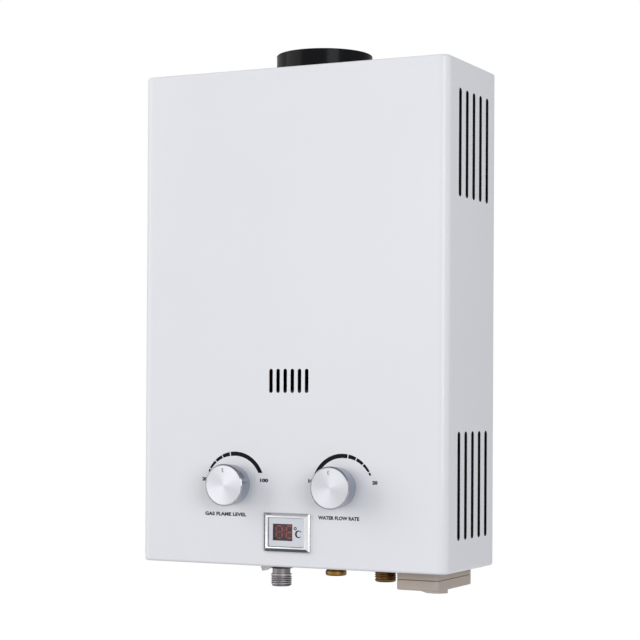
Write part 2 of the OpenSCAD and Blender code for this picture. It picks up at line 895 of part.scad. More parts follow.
module gas_manifold() {
    lug_w = 8;
    bore_r = 4;
    x1 = manifold_l / 2;
    color("silver") difference() {
        union() {
            block([-x1, manifold_rear - manifold_d, jet_z - manifold_h / 2],
                  [x1, manifold_rear, jet_z + manifold_h / 2]);
            for (s = [-1, 1])
                translate([s * (x1 - lug_w / 2) - lug_w / 2, manifold_rear - eps,
                           jet_z - manifold_h / 2])
                    cube([lug_w, manifold_gap + eps, manifold_h]);
        }
        rod_x(-x1 + 4, x1 - 4, manifold_rear - manifold_d / 2, jet_z, bore_r);
    }
}

module gas_jets() {
    orifice_r = 0.6;
    color("goldenrod") for (i = [0:bar_count - 1]) difference() {
        rod_y(bar_x(i), manifold_rear, bar_front - 2, jet_z, jet_r);
        rod_y(bar_x(i), manifold_rear - eps, bar_front, jet_z, orifice_r);
    }
}

// Ceramic-sleeved rod through the chamber's left wall
module electrode(y, reach) {
    wall_x = -chamber_w / 2;
    flange_r = 7;
    flange_t = 1.5;
    rod_x(wall_x - ceramic_out, wall_x + ceramic_in, y, electrode_z, ceramic_r);
    rod_x(wall_x - flange_t, wall_x, y, electrode_z, flange_r);
    rod_x(wall_x, wall_x + reach, y, electrode_z, 1.2);
}

module ignition_electrode() {
    color("ivory") electrode(spark_y, spark_reach);
}

module flame_sensor() {
    color("ivory") electrode(sense_y, sense_reach);
}

// Pipe threads and fittings

// Outline of a threaded stretch going up from z0, as points on its outside
function thread_points(z0, count) =
    [for (i = [0:count - 1], k = [0:3])
        let (z = z0 + i * thread_pitch,
             root = (thread_pitch - thread_flat) / 2)
        k == 0 ? [thread_r, z]
        : k == 1 ? [thread_r, z + thread_flat]
        : k == 2 ? [thread_r - thread_depth, z + thread_flat + root - 0.1]
        : [thread_r - thread_depth, z + thread_flat + root + 0.1]];

gas_crests = 6;
nose = 1.2;

module gas_inlet() {
    z0 = zb - gas_drop;
    thread_z = z0 + nose;
    neck_z = thread_z + gas_crests * thread_pitch;
    color("slategray") rotate_at(-gas_x) polygon(concat(
        [[fit_bore_r, z0], [thread_r - nose, z0]],
        thread_points(thread_z, gas_crests),
        [[neck_r, neck_z], [neck_r, gas_z0 - gas_shoulder_h], [shoulder_r, gas_z0 - gas_shoulder_h],
         [shoulder_r, gas_z0], [fit_bore_r, gas_z0]]
    ));
}

// Turned piece on a fitting's upright axis
module rotate_at(x) {
    translate([x, -fit_y, 0]) rotate_extrude() children();
}

module gas_inlet_seal() {
    color([0.25, 0.24, 0.26]) rotate_at(-gas_x) polygon([
        [neck_r + seat_gap, zb - seal_drop], [seal_r - 0.8, zb - seal_drop],
        [seal_r, zb - seal_drop + 0.8], [seal_r, floor_z0], [neck_r + seat_gap, floor_z0]
    ]);
}

// Brass tail above the floor plate, up to a height
function brass_tail(top) =
    [[thread_r - thread_depth, floor_z1], [shoulder_r, floor_z1],
     [shoulder_r, floor_z1 + shoulder_h], [thread_r - 0.5, floor_z1 + shoulder_h],
     [thread_r - 0.5, top], [fit_bore_r, top]];

cold_nose = 4.4;
cold_crests = floor((cold_drop - cold_nose) / thread_pitch);

module cold_inlet() {
    z0 = zb - cold_drop;
    color("darkgoldenrod") rotate_at(cold_x) polygon(concat(
        [[fit_bore_r, z0], [thread_r - nose, z0], [thread_r, z0 + nose],
         [thread_r, z0 + cold_nose - thread_pitch / 2],
         [thread_r - thread_depth, z0 + cold_nose - 0.3]],
        thread_points(z0 + cold_nose, cold_crests), brass_tail(water_z0)
    ));
}

hot_nose = 2;
hot_crests = floor((hot_drop - hot_nose) / thread_pitch);

module hot_outlet() {
    z0 = zb - hot_drop;
    color("sienna") rotate_at(hot_x) polygon(concat(
        [[fit_bore_r, z0], [thread_r - hot_nose, z0],
         for (a = [15:15:75])
             [thread_r - hot_nose + hot_nose * sin(a), z0 + hot_nose - hot_nose * cos(a)]],
        thread_points(z0 + hot_nose, hot_crests), brass_tail(hot_top)
    ));
}

// Gas train

module gas_valve_body() {
    rear = gas_front + gas_d;
    z = zb + knob_z;
    boss_r = 9;
    color("lightgray") difference() {
        union() {
            block([gas_left, gas_front, gas_z0], [gas_right, rear, gas_z1]);
            rod_y(-knob_x, gas_front - gas_boss_l, gas_front + eps, z, boss_r);
        }
        rod_y(-knob_x, gas_front - gas_boss_l - eps, gas_front + spindle_in, z, spindle_r + run_gap);
        rod_x(gas_left - eps, gas_left + plunger_in + 2, coil_y, z, plunger_r + run_gap);
        translate([-gas_x, -fit_y, gas_z0 - eps]) cylinder(h = inlet_depth, r = fit_bore_r);
        translate([-knob_x, feed_y, gas_z1 - feed_depth])
            cylinder(h = feed_depth + eps, r = tube_r - tube_wall);
    }
}

// Valve spindle from its valve's bore out to the knob, with a stop collar
module spindle(x, bore_mouth, bore_end) {
    z = zb + knob_z;
    tip = front_y - knob_face + cap_t + pass_gap;
    rod_y(x, tip, bore_end - pass_gap, z, spindle_r);
    rod_y(x, bore_mouth - pass_gap - spindle_collar_l, bore_mouth - pass_gap, z,
          spindle_collar_r);
}

module gas_spindle() {
    color("darkgray") spindle(-knob_x, gas_front - gas_boss_l, gas_front + spindle_in);
}

module solenoid_coil() {
    z = zb + knob_z;
    color("firebrick") difference() {
        union() {
            rod_x(gas_left - coil_l, gas_left, coil_y, z, coil_r - 2);
            rod_x(gas_left - coil_l, gas_left - coil_l + 3, coil_y, z, coil_r);
            rod_x(gas_left - 3, gas_left, coil_y, z, coil_r);
        }
        rod_x(gas_left - coil_l + 3, gas_left + eps, coil_y, z, plunger_r + run_gap);
    }
}

module solenoid_plunger() {
    color("gray") rod_x(gas_left + plunger_in - plunger_l, gas_left + plunger_in, coil_y,
                        zb + knob_z, plunger_r);
}

module gas_feed_pipe() {
    y1 = manifold_rear - manifold_d / 2;
    route = [
        [-knob_x, feed_y, gas_z1], [-knob_x, feed_y, feed_z], [-knob_x, y1, feed_z],
        [-knob_x, y1, jet_z - manifold_h / 2]
    ];
    color("silver") pipe(route, tube_r, tube_wall, bend_r);
}

// Water train

module water_valve_body() {
    arm_x0 = cold_x - water_arm / 2;
    arm_x1 = cold_x + water_arm / 2;
    z = zb + knob_z;
    rim_h = 6;
    bowl = 4;
    way_r = 4.5;
    color("darkgoldenrod") difference() {
        union() {
            block([arm_x0, water_front, water_z0], [water_right, water_rear, water_z1]);
            block([arm_x0, water_rear - eps, water_z0],
                  [arm_x1, -fit_y + water_arm / 2, water_z1]);
            translate([drum_x, drum_y, water_z1 - rim_h]) cylinder(h = rim_h, r = drum_r);
        }
        translate([drum_x, drum_y, water_z1 - bowl]) cylinder(h = bowl + eps, r = drum_bore);
        rod_y(knob_x, water_front - eps, water_front + spindle_in, z, spindle_r + run_gap);
        translate([cold_x, -fit_y, water_z0 - eps]) cylinder(h = inlet_depth, r = fit_bore_r);
        rod_y(cold_x, outlet_y, -fit_y, outlet_z, way_r - eps);
        rod_x(cold_x - 1.2 * way_r, water_right + eps, outlet_y, outlet_z, way_r);
    }
}

module diaphragm() {
    color([0.1, 0.1, 0.1]) translate([drum_x, drum_y, water_z1])
        cylinder(h = diaphragm_t, r = drum_r);
}

module water_valve_cover() {
    dome = 7;
    color("darkgoldenrod") translate([drum_x, drum_y, water_z1 + diaphragm_t]) difference() {
        cylinder(h = drum_h, r = drum_r);
        translate([0, 0, -eps]) cylinder(h = dome + eps, r = drum_bore);
        cylinder(h = drum_h + eps, r = rod_r + run_gap);
    }
}

module push_rod() {
    z0 = water_z1 + diaphragm_t + pass_gap;
    disc_t = 2;
    color("lightgray") translate([drum_x, drum_y, z0]) union() {
        cylinder(h = disc_t, r = rod_disc_r);
        cylinder(h = lever_z - lever_t / 2 - pass_gap - z0, r = rod_r);
    }
}

module water_spindle() {
    color("darkgray") spindle(knob_x, water_front, water_front + spindle_in);
}

module cold_riser() {
    route = [
        [water_right, outlet_y, outlet_z], [riser_x, outlet_y, outlet_z],
        [riser_x, tube_ys[0], tube_z], [tube_end, tube_ys[0], tube_z]
    ];
    color("peru") pipe(route, tube_r, tube_wall, bend_r);
}

module hot_pipe() {
    route = [
        [tube_end, tube_ys[3], tube_z], [riser_x, tube_ys[3], tube_z],
        [riser_x, tube_ys[3], hot_pipe_z], [riser_x, -fit_y, hot_pipe_z],
        [hot_x, -fit_y, hot_pipe_z], [hot_x, -fit_y, hot_top]
    ];
    color("peru") pipe(route, tube_r, tube_wall, bend_r);
}

// Hexagon nut around a pipe, going up from z = 0
module pipe_nut() {
    nut_r = 11;
    difference() {
        cylinder(h = nut_h, r = nut_r, $fn = 6);
        translate([0, 0, -eps]) cylinder(h = nut_h + 2 * eps, r = tube_r + seat_gap);
    }
}

module pipe_nuts() {
    color("goldenrod") {
        translate([hot_x, -fit_y, hot_top]) pipe_nut();
        translate([-knob_x, feed_y, gas_z1]) pipe_nut();
        translate([water_right, outlet_y, outlet_z]) rotate([0, 90, 0]) pipe_nut();
    }
}

module micro_switch() {
    ear_t = 1;
    ear_l = 4;
    ear_top = lever_z + 2;
    y0 = lever_w / 2 + 0.2;
    color([0.15, 0.15, 0.17]) difference() {
        union() {
            block([micro_x, drum_y - micro_w / 2, drum_top],
                  [micro_x + micro_l, drum_y + micro_w / 2, micro_z]);
            for (s = [-1, 1])
                translate([lever_pivot_x - ear_l / 2, drum_y + s * (y0 + ear_t / 2) - ear_t / 2,
                           micro_z - eps])
                    cube([ear_l, ear_t, ear_top - micro_z + eps]);
            translate([micro_x + 6, drum_y - 1, micro_z - eps])
                cube([2, 2, lever_z - lever_t / 2 - pass_gap - micro_z + eps]);
        }
        rod_y(lever_pivot_x, drum_y - micro_w, drum_y + micro_w, lever_z, lever_pin_r + run_gap);
    }
}

module switch_lever() {
    barrel = 1.4;
    color("silver") union() {
        block([drum_x - 4, drum_y - lever_w / 2, lever_z - lever_t / 2],
              [lever_pivot_x, drum_y + lever_w / 2, lever_z + lever_t / 2]);
        rod_y(lever_pivot_x, drum_y - lever_w / 2, drum_y + lever_w / 2, lever_z, barrel);
        rod_y(lever_pivot_x, drum_y - micro_w / 2, drum_y + micro_w / 2, lever_z, lever_pin_r);
    }
}

// Electrics

module igniter_module() {
    lid_line = 1;
    color([0.2, 0.2, 0.22]) difference() {
        translate([module_x, 0, module_z0 + module_h / 2]) towards_front(-plate_t, module_d)
            rounded_rect(module_w, module_h, 4);
        translate([module_x, -plate_t - module_d + 8, module_z0 + module_h / 2])
            rotate([90, 0, 0]) linear_extrude(lid_line) difference() {
                square([module_w + eps, module_h + eps], center = true);
                rounded_rect(module_w - 2, module_h - 2, 4);
            }
    }
}

module overheat_thermostat() {
    x = chamber_w / 2;
    z = (burner_z1 + fin_z0) / 2;
    color([0.3, 0.25, 0.22]) union() {
        rod_x(x, x + 6, stack_y, z, 8);
        block([x, stack_y - 14, z - 6], [x + 1.2, stack_y + 14, z + 6]);
    }
}

module water_sensor() {
    x = (hot_x + riser_x) / 2;
    clip_w = 12;
    clip = 2 * tube_r + 5;
    color([0.2, 0.2, 0.2]) difference() {
        union() {
            translate([x, -fit_y, hot_pipe_z]) cube([clip_w, clip, clip], center = true);
            translate([x, -fit_y, hot_pipe_z]) cylinder(h = clip / 2 + 10, r = 3.5);
        }
        rod_x(x - clip_w, x + clip_w, -fit_y, hot_pipe_z, tube_r + seat_gap);
    }
}

// Outline of the display's boss through the panel, grown by a gap
module display_boss_outline(gap) {
    rounded_rect(insert_w + 2 * boss_wall + 2 * gap, insert_h + 2 * boss_wall + 2 * gap, 1);
}

// Block whose four sides slope in towards its front
module sloping_block(w, h, rise, slope) {
    edge = rise / 3;
    intersection() {
        rotate([90, 0, 0]) translate([0, 0, -h / 2]) linear_extrude(h) polygon([
            [-w / 2, 0], [w / 2, 0], [w / 2, edge], [w / 2 - slope, rise],
            [-w / 2 + slope, rise], [-w / 2, edge]
        ]);
        rotate([90, 0, 90]) translate([0, 0, -w / 2]) linear_extrude(w) polygon([
            [-h / 2, 0], [h / 2, 0], [h / 2, edge], [h / 2 - slope, rise],
            [-h / 2 + slope, rise], [-h / 2, edge]
        ]);
    }
}

module display_bezel() {
    back = -cover_t - boss_depth;
    ledge_z = insert_front - insert_t;
    color("silver") on_panel(0, bezel_z) difference() {
        union() {
            sloping_block(bezel_w, bezel_h, bezel_rise, bezel_slope);
            translate([0, 0, back]) linear_extrude(eps - back) display_boss_outline(0);
        }
        translate([0, 0, ledge_z]) linear_extrude(bezel_rise)
            rounded_rect(insert_w, insert_h, 1);
        translate([0, 0, back - eps]) linear_extrude(bezel_rise - back)
            rounded_rect(insert_w - 2 * insert_ledge, insert_h - 2 * insert_ledge, 1);
    }
}

module display_panel() {
    color("lightgray") on_panel(0, bezel_z)
        translate([0, 0, insert_front - insert_t]) linear_extrude(insert_t) difference() {
            rounded_rect(insert_w - 2 * seat_gap, insert_h - 2 * seat_gap, 1);
            translate([window_x, 0]) square([window_w, window_h], center = true);
        }
}

module display_lens() {
    color([0.12, 0.06, 0.07]) on_panel(window_x, bezel_z)
        translate([0, 0, lens_front - lens_t]) linear_extrude(lens_t)
            square([window_w - 2 * seat_gap, window_h - 2 * seat_gap], center = true);
}

module display_board() {
    back = -cover_t - boss_depth;
    color("seagreen") on_panel(0, bezel_z) union() {
        translate([0, 0, back - board_t]) linear_extrude(board_t) display_boss_outline(0);
        translate([window_x, 0, back - eps]) linear_extrude(lens_front - lens_t - back + eps)
            square([window_w - 2, window_h - 2], center = true);
    }
}

// Switch

module switch_housing() {
    body_l = switch_l - 4;
    body_w = switch_w - 3;
    color("white") translate([-rocker_x, -rocker_y, 0]) difference() {
        union() {
            translate([0, 0, floor_z0 - switch_lip]) linear_extrude(switch_lip)
                rounded_rect(switch_l, switch_w, 1.5);
            translate([0, 0, floor_z0 - eps]) linear_extrude(switch_h + eps)
                square([body_l, body_w], center = true);
        }
        rod_y(0, -rocker_w / 2 - pass_gap, rocker_w / 2 + pass_gap, rocker_z,
              rocker_end_r + pass_gap);
        rod_y(0, -rocker_w / 2 - switch_wall, rocker_w / 2 + switch_wall, rocker_z,
              rocker_pin_r + run_gap);
    }
}

module switch_rocker() {
    raise = 7;
    dish = 1.1;
    color("mistyrose") translate([-rocker_x, -rocker_y, rocker_z]) rotate([0, -rocker_tilt, 0])
        union() {
            intersection() {
                towards_front(rocker_w / 2, rocker_w) polygon([
                    [-rocker_l / 2, -raise], [0, -raise + dish], [rocker_l / 2, -raise],
                    [rocker_l / 2 + 1, 3], [-rocker_l / 2 - 1, 3]
                ]);
                rod_y(0, -rocker_w, rocker_w, 0, rocker_end_r);
            }
            rod_y(0, -rocker_w / 2 - switch_wall + seat_gap, rocker_w / 2 + switch_wall - seat_gap,
                  0, rocker_pin_r);
        }
}

// Battery box

module box_plan(inset) {
    translate([box_x, box_y])
        rounded_rect(box_w - 2 * inset, box_l - 2 * inset, box_r - inset);
}

// Places of the two hinge ears along the pin
module ear_places() {
    for (s = [-1, 1]) translate([box_x + s * ear_x, 0, 0]) children();
}

module battery_box() {
    ear_r = barrel_r - 0.2;
    color("tan") difference() {
        union() {
            difference() {
                union() {
                    translate([0, 0, seam_z]) linear_extrude(zb + box_top_z - seam_z) box_plan(0);
                    translate([0, 0, floor_z1]) linear_extrude(box_wall) box_plan(-box_lip);
                }
                translate([0, 0, seam_z - eps])
                    linear_extrude(zb + box_top_z - box_wall - seam_z + eps) box_plan(box_wall);
            }
            ear_places() {
                rod_x(-ear_w / 2, ear_w / 2, pivot_y, pivot_z, ear_r);
                block([-ear_w / 2, pivot_y - ear_r, pivot_z],
                      [ear_w / 2, pivot_y + ear_r, seam_z + box_wall]);
            }
        }
        rod_x(box_x - box_w, box_x + box_w, pivot_y, pivot_z, pin_r + run_gap / 2);
    }
}

// Thumb pad seen from the front, swelling down from the lid's underside by a rise
module pad_outline(rise) {
    pad_x = box_x + box_w / 14;
    pad_ramp = box_w / 5;
    polygon([
        [pad_x, lid_z0 + eps], [pad_x + pad_ramp, lid_z0 - rise],
        [box_x + box_w / 2, lid_z0 - rise], [box_x + box_w / 2, lid_z0 + eps]
    ]);
}

module battery_lid() {
    pad_l = 24;
    catch = 1;
    color("tan") difference() {
        union() {
            difference() {
                union() {
                    translate([0, 0, lid_z0]) linear_extrude(lid_z1 - lid_z0) box_plan(0);
                    intersection() {
                        translate([0, 0, lid_z0 - 2 * pad_step]) linear_extrude(3 * pad_step)
                            box_plan(catch);
                        hull() {
                            towards_front(-box_front + eps, eps) pad_outline(pad_rise);
                            towards_front(-box_front + pad_l, eps) pad_outline(pad_step);
                        }
                    }
                }
                translate([0, 0, lid_z0 + box_wall]) linear_extrude(lid_z1 - lid_z0)
                    box_plan(box_wall);
                block([box_x - box_w, pivot_y, pivot_z], [box_x + box_w, box_rear + eps, seam_z]);
            }
            rod_x(box_x - box_w / 2 + box_r / 2, box_x + box_w / 2 - box_r / 2, pivot_y, pivot_z,
                  barrel_r);
        }
        rod_x(box_x - box_w, box_x + box_w, pivot_y, pivot_z, pin_r + run_gap);
        ear_places()
            block([-ear_w / 2 - pass_gap, pivot_y - barrel_r - pass_gap,
                   pivot_z - barrel_r - pass_gap],
                  [ear_w / 2 + pass_gap, box_rear + eps, lid_z1 + eps]);
    }
}

module lid_pin() {
    color("silver") rod_x(box_x - box_w / 2 + box_r / 2, box_x + box_w / 2 - box_r / 2, pivot_y,
                          pivot_z, pin_r);
}

// Middle height of the cell's space, between the box's roof and the lid's floor
cell_z = (zb + box_top_z - box_wall + lid_z0 + box_wall) / 2;

module battery_contacts() {
    plate_half = 10;
    nub_r = 4;
    nub_l = 2;
    front_in = -box_front + box_wall;
    rear_in = box_rear - box_wall;
    z0 = max(cell_z - plate_half, seam_z + 1);
    z1 = cell_z + plate_half;
    color("silver") {
        block([box_x - plate_half, front_in, z0], [box_x + plate_half, front_in + contact_t, z1]);
        rod_y(box_x, front_in, front_in + contact_t + nub_l, cell_z, nub_r);
        block([box_x - plate_half, rear_in - contact_t, z0], [box_x + plate_half, rear_in, z1]);
    }
}

spring_rings = 10;
spring_y0 = box_rear - box_wall - contact_t - spring_wire - 0.1;
function spring_point(t) =
    let (a = 360 * spring_turns * t,
         r = spring_base + (spring_tip - spring_base) * t)
    [box_x + r * cos(a), spring_y0 - spring_l * t, cell_z + r * sin(a)];
spring_route = [for (i = [0:spring_turns * spring_rings]) spring_point(i / spring_turns / spring_rings)];
// Least gap between neighbouring turns, measured on the route's points
spring_gap = min([for (i = [0:(spring_turns - 1) * spring_rings])
    norm(spring_route[i + spring_rings] - spring_route[i])]) - 2 * spring_wire;
echo(spring_gap = spring_gap);

module contact_spring() {
    color("silver") swept_tube(spring_route, spring_wire, 6);
}

// Knobs

module knob_body(x) {
    under = knob_face - cap_t - 2.5;
    cap_r = knob_r - knob_bevel - 0.4;
    bore = spindle_r + seat_gap;
    hub_start = 0.6;
    skirt_r = knob_r - knob_taper;
    on_panel(x, knob_z) rotate_extrude() polygon([
        [bore, hub_start], [hub_r, hub_start], [hub_r, under], [skirt_r - knob_wall, under],
        [skirt_r - knob_wall, knob_gap], [skirt_r, knob_gap],
        [knob_r, knob_face - knob_bevel], [knob_r - knob_bevel, knob_face],
        [cap_r + seat_gap, knob_face], [cap_r + seat_gap, knob_face - cap_t],
        [bore, knob_face - cap_t]
    ]);
}

module knob_cap(x) {
    cap_r = knob_r - knob_bevel - 0.4;
    ball_r = (dimple_r * dimple_r + dimple_depth * dimple_depth) / (2 * dimple_depth);
    on_panel(x, knob_z) difference() {
        translate([0, 0, knob_face - cap_t]) cylinder(h = cap_t, r = cap_r);
        translate([0, dimple_out, knob_face - dimple_depth + ball_r]) sphere(ball_r);
    }
}

module flame_knob() {
    color("lightsteelblue") knob_body(-knob_x);
}

module flame_knob_cap() {
    color("gainsboro") knob_cap(-knob_x);
}

module water_knob() {
    color("lightsteelblue") knob_body(knob_x);
}

module water_knob_cap() {
    color("gainsboro") knob_cap(knob_x);
}

// Leads inside the casing

// Route with straight ends, smoothed between its second and last but one points
function lead_route(p, n) =
    concat([p[0]], smooth_route([for (i = [1:len(p) - 2]) p[i]], n), [p[len(p) - 1]]);

module lead(points) {
    swept_tube(lead_route(points, 4), lead_r, 8);
}

module igniter_leads() {
    wall_x = -chamber_w / 2 - ceramic_out;
    top = module_z0 + module_h;
    color([0.15, 0.15, 0.15]) {
        lead([
            [module_x - 10, -28, top], [module_x - 10, -28, top + lead_rise],
            [wall_x - 15, spark_y + 20, electrode_z - 24], [wall_x - 15, spark_y, electrode_z - 4],
            [wall_x - 5, spark_y, electrode_z], [wall_x, spark_y, electrode_z]
        ]);
        lead([
            [module_x + 4, -16, top], [module_x + 4, -16, top + lead_rise],
            [wall_x - 11, sense_y + 12, electrode_z - 20], [wall_x - 11, sense_y, electrode_z - 4],
            [wall_x - 5, sense_y, electrode_z], [wall_x, sense_y, electrode_z]
        ]);
    }
}

module battery_lead() {
    exit_z = zb + 12;
    end_x = module_x + 14;
    end_y = -14;
    color("firebrick") lead([
        [box_x, box_rear, exit_z], [box_x, box_rear + 4, exit_z],
        [box_x - 27, lead_back_y, lead_low_z], [lead_span, lead_back_y, lead_high_z],
        [-lead_span, lead_back_y, lead_high_z], [end_x + 10, lead_back_y, lead_low_z],
        [end_x, end_y, module_z0 - 6], [end_x, end_y, module_z0]
    ]);
}

module display_lead() {
    x0 = window_x - 10.6;
    x1 = module_x + 8;
    y0 = front_y + cover_t + boss_depth + board_t;
    y1 = -plate_t - module_d;
    z0 = zb + bezel_z;
    z1 = module_z0 + 16;
    color("black") lead([
        [x0, y0, z0], [x0, y0 + 6, z0], [x0 - 26, y0 + 10, z0 - 2], [x1 + 22, y0 + 14, z0],
        [x1, y1 - 30, z1 - 4], [x1, y1 - 8, z1], [x1, y1, z1]
    ]);
}

back_plate();
top_plate();
bottom_plate();
front_cover();
cover_screws();
chassis_screws();
flue_collar();
collar_screws();
draft_hood();
heat_exchanger_fins();
exchanger_tubes();
combustion_chamber();
chamber_brackets();
burner_bars();
burner_frame();
gas_manifold();
gas_jets();
ignition_electrode();
flame_sensor();
gas_inlet();
gas_inlet_seal();
gas_valve_body();
gas_spindle();
solenoid_coil();
solenoid_plunger();
gas_feed_pipe();
cold_inlet();
hot_outlet();
water_valve_body();
water_valve_cover();
diaphragm();
push_rod();
water_spindle();
cold_riser();
hot_pipe();
pipe_nuts();
micro_switch();
switch_lever();
igniter_module();
display_bezel();
display_panel();
display_lens();
display_board();
overheat_thermostat();
water_sensor();
switch_housing();
switch_rocker();
battery_box();
battery_lid();
lid_pin();
battery_contacts();
contact_spring();
flame_knob();
flame_knob_cap();
water_knob();
water_knob_cap();
igniter_leads();
battery_lead();
display_lead();
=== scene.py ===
# %% [markdown]
# # A wall-hung gas water heater
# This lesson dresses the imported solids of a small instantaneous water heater: a folded white casing with
# a black flue collar, two turned knobs, a temperature display, pipe ends and a battery box underneath.
# The solids are loaded first, because every new piece takes its place and its size from them.

# %% Load the frame
import math
import bpy
from mathutils import Matrix, Vector


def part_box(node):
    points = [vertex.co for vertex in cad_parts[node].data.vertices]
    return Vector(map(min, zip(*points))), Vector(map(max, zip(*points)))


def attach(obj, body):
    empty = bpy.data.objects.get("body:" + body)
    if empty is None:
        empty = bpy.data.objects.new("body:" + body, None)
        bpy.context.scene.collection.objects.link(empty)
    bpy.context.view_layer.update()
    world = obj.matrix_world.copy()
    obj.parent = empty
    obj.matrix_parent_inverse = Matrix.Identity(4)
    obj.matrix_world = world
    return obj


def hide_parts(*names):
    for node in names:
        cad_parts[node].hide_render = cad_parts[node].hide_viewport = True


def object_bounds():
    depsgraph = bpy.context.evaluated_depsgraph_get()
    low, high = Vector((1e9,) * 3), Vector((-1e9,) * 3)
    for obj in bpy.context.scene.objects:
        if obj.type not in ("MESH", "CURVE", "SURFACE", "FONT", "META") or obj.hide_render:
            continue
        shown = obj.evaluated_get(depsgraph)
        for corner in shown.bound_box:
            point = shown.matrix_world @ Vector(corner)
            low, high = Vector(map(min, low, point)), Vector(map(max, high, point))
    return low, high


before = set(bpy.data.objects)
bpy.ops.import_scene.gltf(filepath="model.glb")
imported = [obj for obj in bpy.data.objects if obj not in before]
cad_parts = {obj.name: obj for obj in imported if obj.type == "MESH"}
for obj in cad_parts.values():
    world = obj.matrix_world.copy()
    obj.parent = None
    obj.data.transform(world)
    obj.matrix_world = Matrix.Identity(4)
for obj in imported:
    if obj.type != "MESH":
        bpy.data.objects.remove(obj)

MM = 0.001
cad_low, cad_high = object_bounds()
print("CAD box in mm", [round(v / MM, 1) for v in (*cad_low, *cad_high)])

# %% [markdown]
# ## Camera
# The casing is seen from its right, through a long lens that stands almost level with the knobs. A camera
# could be tracked to a target, but the upright edges tell its turn and tilt, so they are written down.
# The small upward shift keeps the upright edges upright, as in a photograph of a tall thing.

# %% Camera
CAMERA_PLACE = Vector((0.8044, -1.7029, -0.0769))
CAMERA_YAW = math.radians(26.0)
CAMERA_TILT = math.radians(90.62)
CAMERA_ROLL = math.radians(0.314)
LENS_MM, SENSOR_MM = 104.34, 36
UPWARD_SHIFT = 0.0888
FAR_CLIP = 50


def deselect():
    """Leave nothing selected, because an operator acts on all that is."""
    bpy.ops.object.select_all(action="DESELECT")


deselect()
bpy.ops.object.camera_add()
camera = bpy.context.object
camera.name = "photo_camera"
camera.matrix_world = (
    Matrix.Translation(CAMERA_PLACE)
    @ Matrix.Rotation(CAMERA_YAW, 4, "Z")
    @ Matrix.Rotation(CAMERA_TILT, 4, "X")
    @ Matrix.Rotation(CAMERA_ROLL, 4, "Z")
)
camera.data.lens = LENS_MM
camera.data.sensor_width = SENSOR_MM
camera.data.shift_y = UPWARD_SHIFT
camera.data.clip_end = FAR_CLIP
bpy.context.scene.camera = camera
print("camera stands", round((camera.location - (cad_low + cad_high) / 2).length, 2), "m away")

# %% [markdown]
# ## Node helpers
# Every finish below is a small node tree. One helper adds a node and fills or links its inputs, so that a
# finish reads as a short list of what it is made of. A node given as an input stands for its first output.

# %% Node helpers
def fill(tree, node, inputs):
    """Link a node's inputs to sockets or nodes, or type values into them."""
    for key, value in inputs.items():
        if isinstance(value, bpy.types.Node):
            value = value.outputs[0]
        if isinstance(value, bpy.types.NodeSocket):
            tree.links.new(value, node.inputs[key])
        else:
            node.inputs[key].default_value = value


def add(tree, kind, inputs=None, **settings):
    """Add a shader node, set its options and fill its inputs."""
    node = tree.nodes.new("ShaderNode" + kind)
    for key, value in settings.items():
        setattr(node, key, value)
    fill(tree, node, inputs or {})
    return node


def maths(tree, operation, *values):
    """A sum on sockets, nodes or numbers."""
    return add(tree, "Math", dict(enumerate(values)), operation=operation)


def remap(tree, value, low, high, start, end=1.0):
    """Carry a value from one range to another."""
    return add(tree, "MapRange", {
        "Value": value, "From Min": low, "From Max": high, "To Min": start, "To Max": end})


def srgb(red, green, blue):
    """A colour picked on a screen, 0 to 255, as the linear colour that a shader wants."""
    def straight(value):
        value /= 255
        return value / 12.92 if value <= 0.04045 else ((value + 0.055) / 1.055) ** 2.4
    return (straight(red), straight(green), straight(blue), 1)


print("mid grey is", [round(v, 3) for v in srgb(128, 128, 128)[:3]])

# %% [markdown]
# ## Floor and studio light
# The heater hangs on a wall, so the floor lies a little way below it. One large soft lamp stands at the
# upper left of the camera and a weaker, cooler one in front at the right, which keeps the rounded corner
# from sinking into shade. The background is white because the world shows white to the camera and in
# reflections, while it lights the casing at a plainer level. Behind the heater and overhead a room is
# never as white as the paper, so reflections from there are dimmer, and the floor is pale, not white.

# %% Floor
FLOOR_DROP = 0.36
FLOOR_SIZE = 5.0
FLOOR_LIFT = 0.72
WHITE = (1, 1, 1, 1)


def rays_shown(tree):
    """Light Path's outputs, and a mask of the rays that see a thing straight, mirrored or through glass."""
    rays = add(tree, "LightPath").outputs
    mirrored = maths(tree, "MAXIMUM", rays["Is Glossy Ray"], rays["Is Transmission Ray"])
    return rays, maths(tree, "MAXIMUM", rays["Is Camera Ray"], mirrored)


deselect()
bpy.ops.mesh.primitive_plane_add(size=FLOOR_SIZE, location=(0, 0, cad_low.z - FLOOR_DROP))
floor = bpy.context.object
floor.name = "studio_floor"
floor_finish = bpy.data.materials.new("studio_floor_finish")
floor_finish.use_nodes = True
tree = floor_finish.node_tree
tree.nodes.clear()
rays, shown = rays_shown(tree)
matte = add(tree, "BsdfDiffuse", {"Color": srgb(196, 196, 198)})
glow = add(tree, "Emission", {"Color": WHITE, "Strength": maths(tree, "MULTIPLY", shown, FLOOR_LIFT)})
above = add(tree, "AddShader", {0: matte, 1: glow})
below = add(tree, "BsdfTransparent")
under = add(tree, "NewGeometry").outputs["Backfacing"]
add(tree, "OutputMaterial", {"Surface": add(tree, "MixShader", {0: under, 1: above, 2: below})})
floor.data.materials.append(floor_finish)
print("floor at", round(floor.location.z, 3), "m")

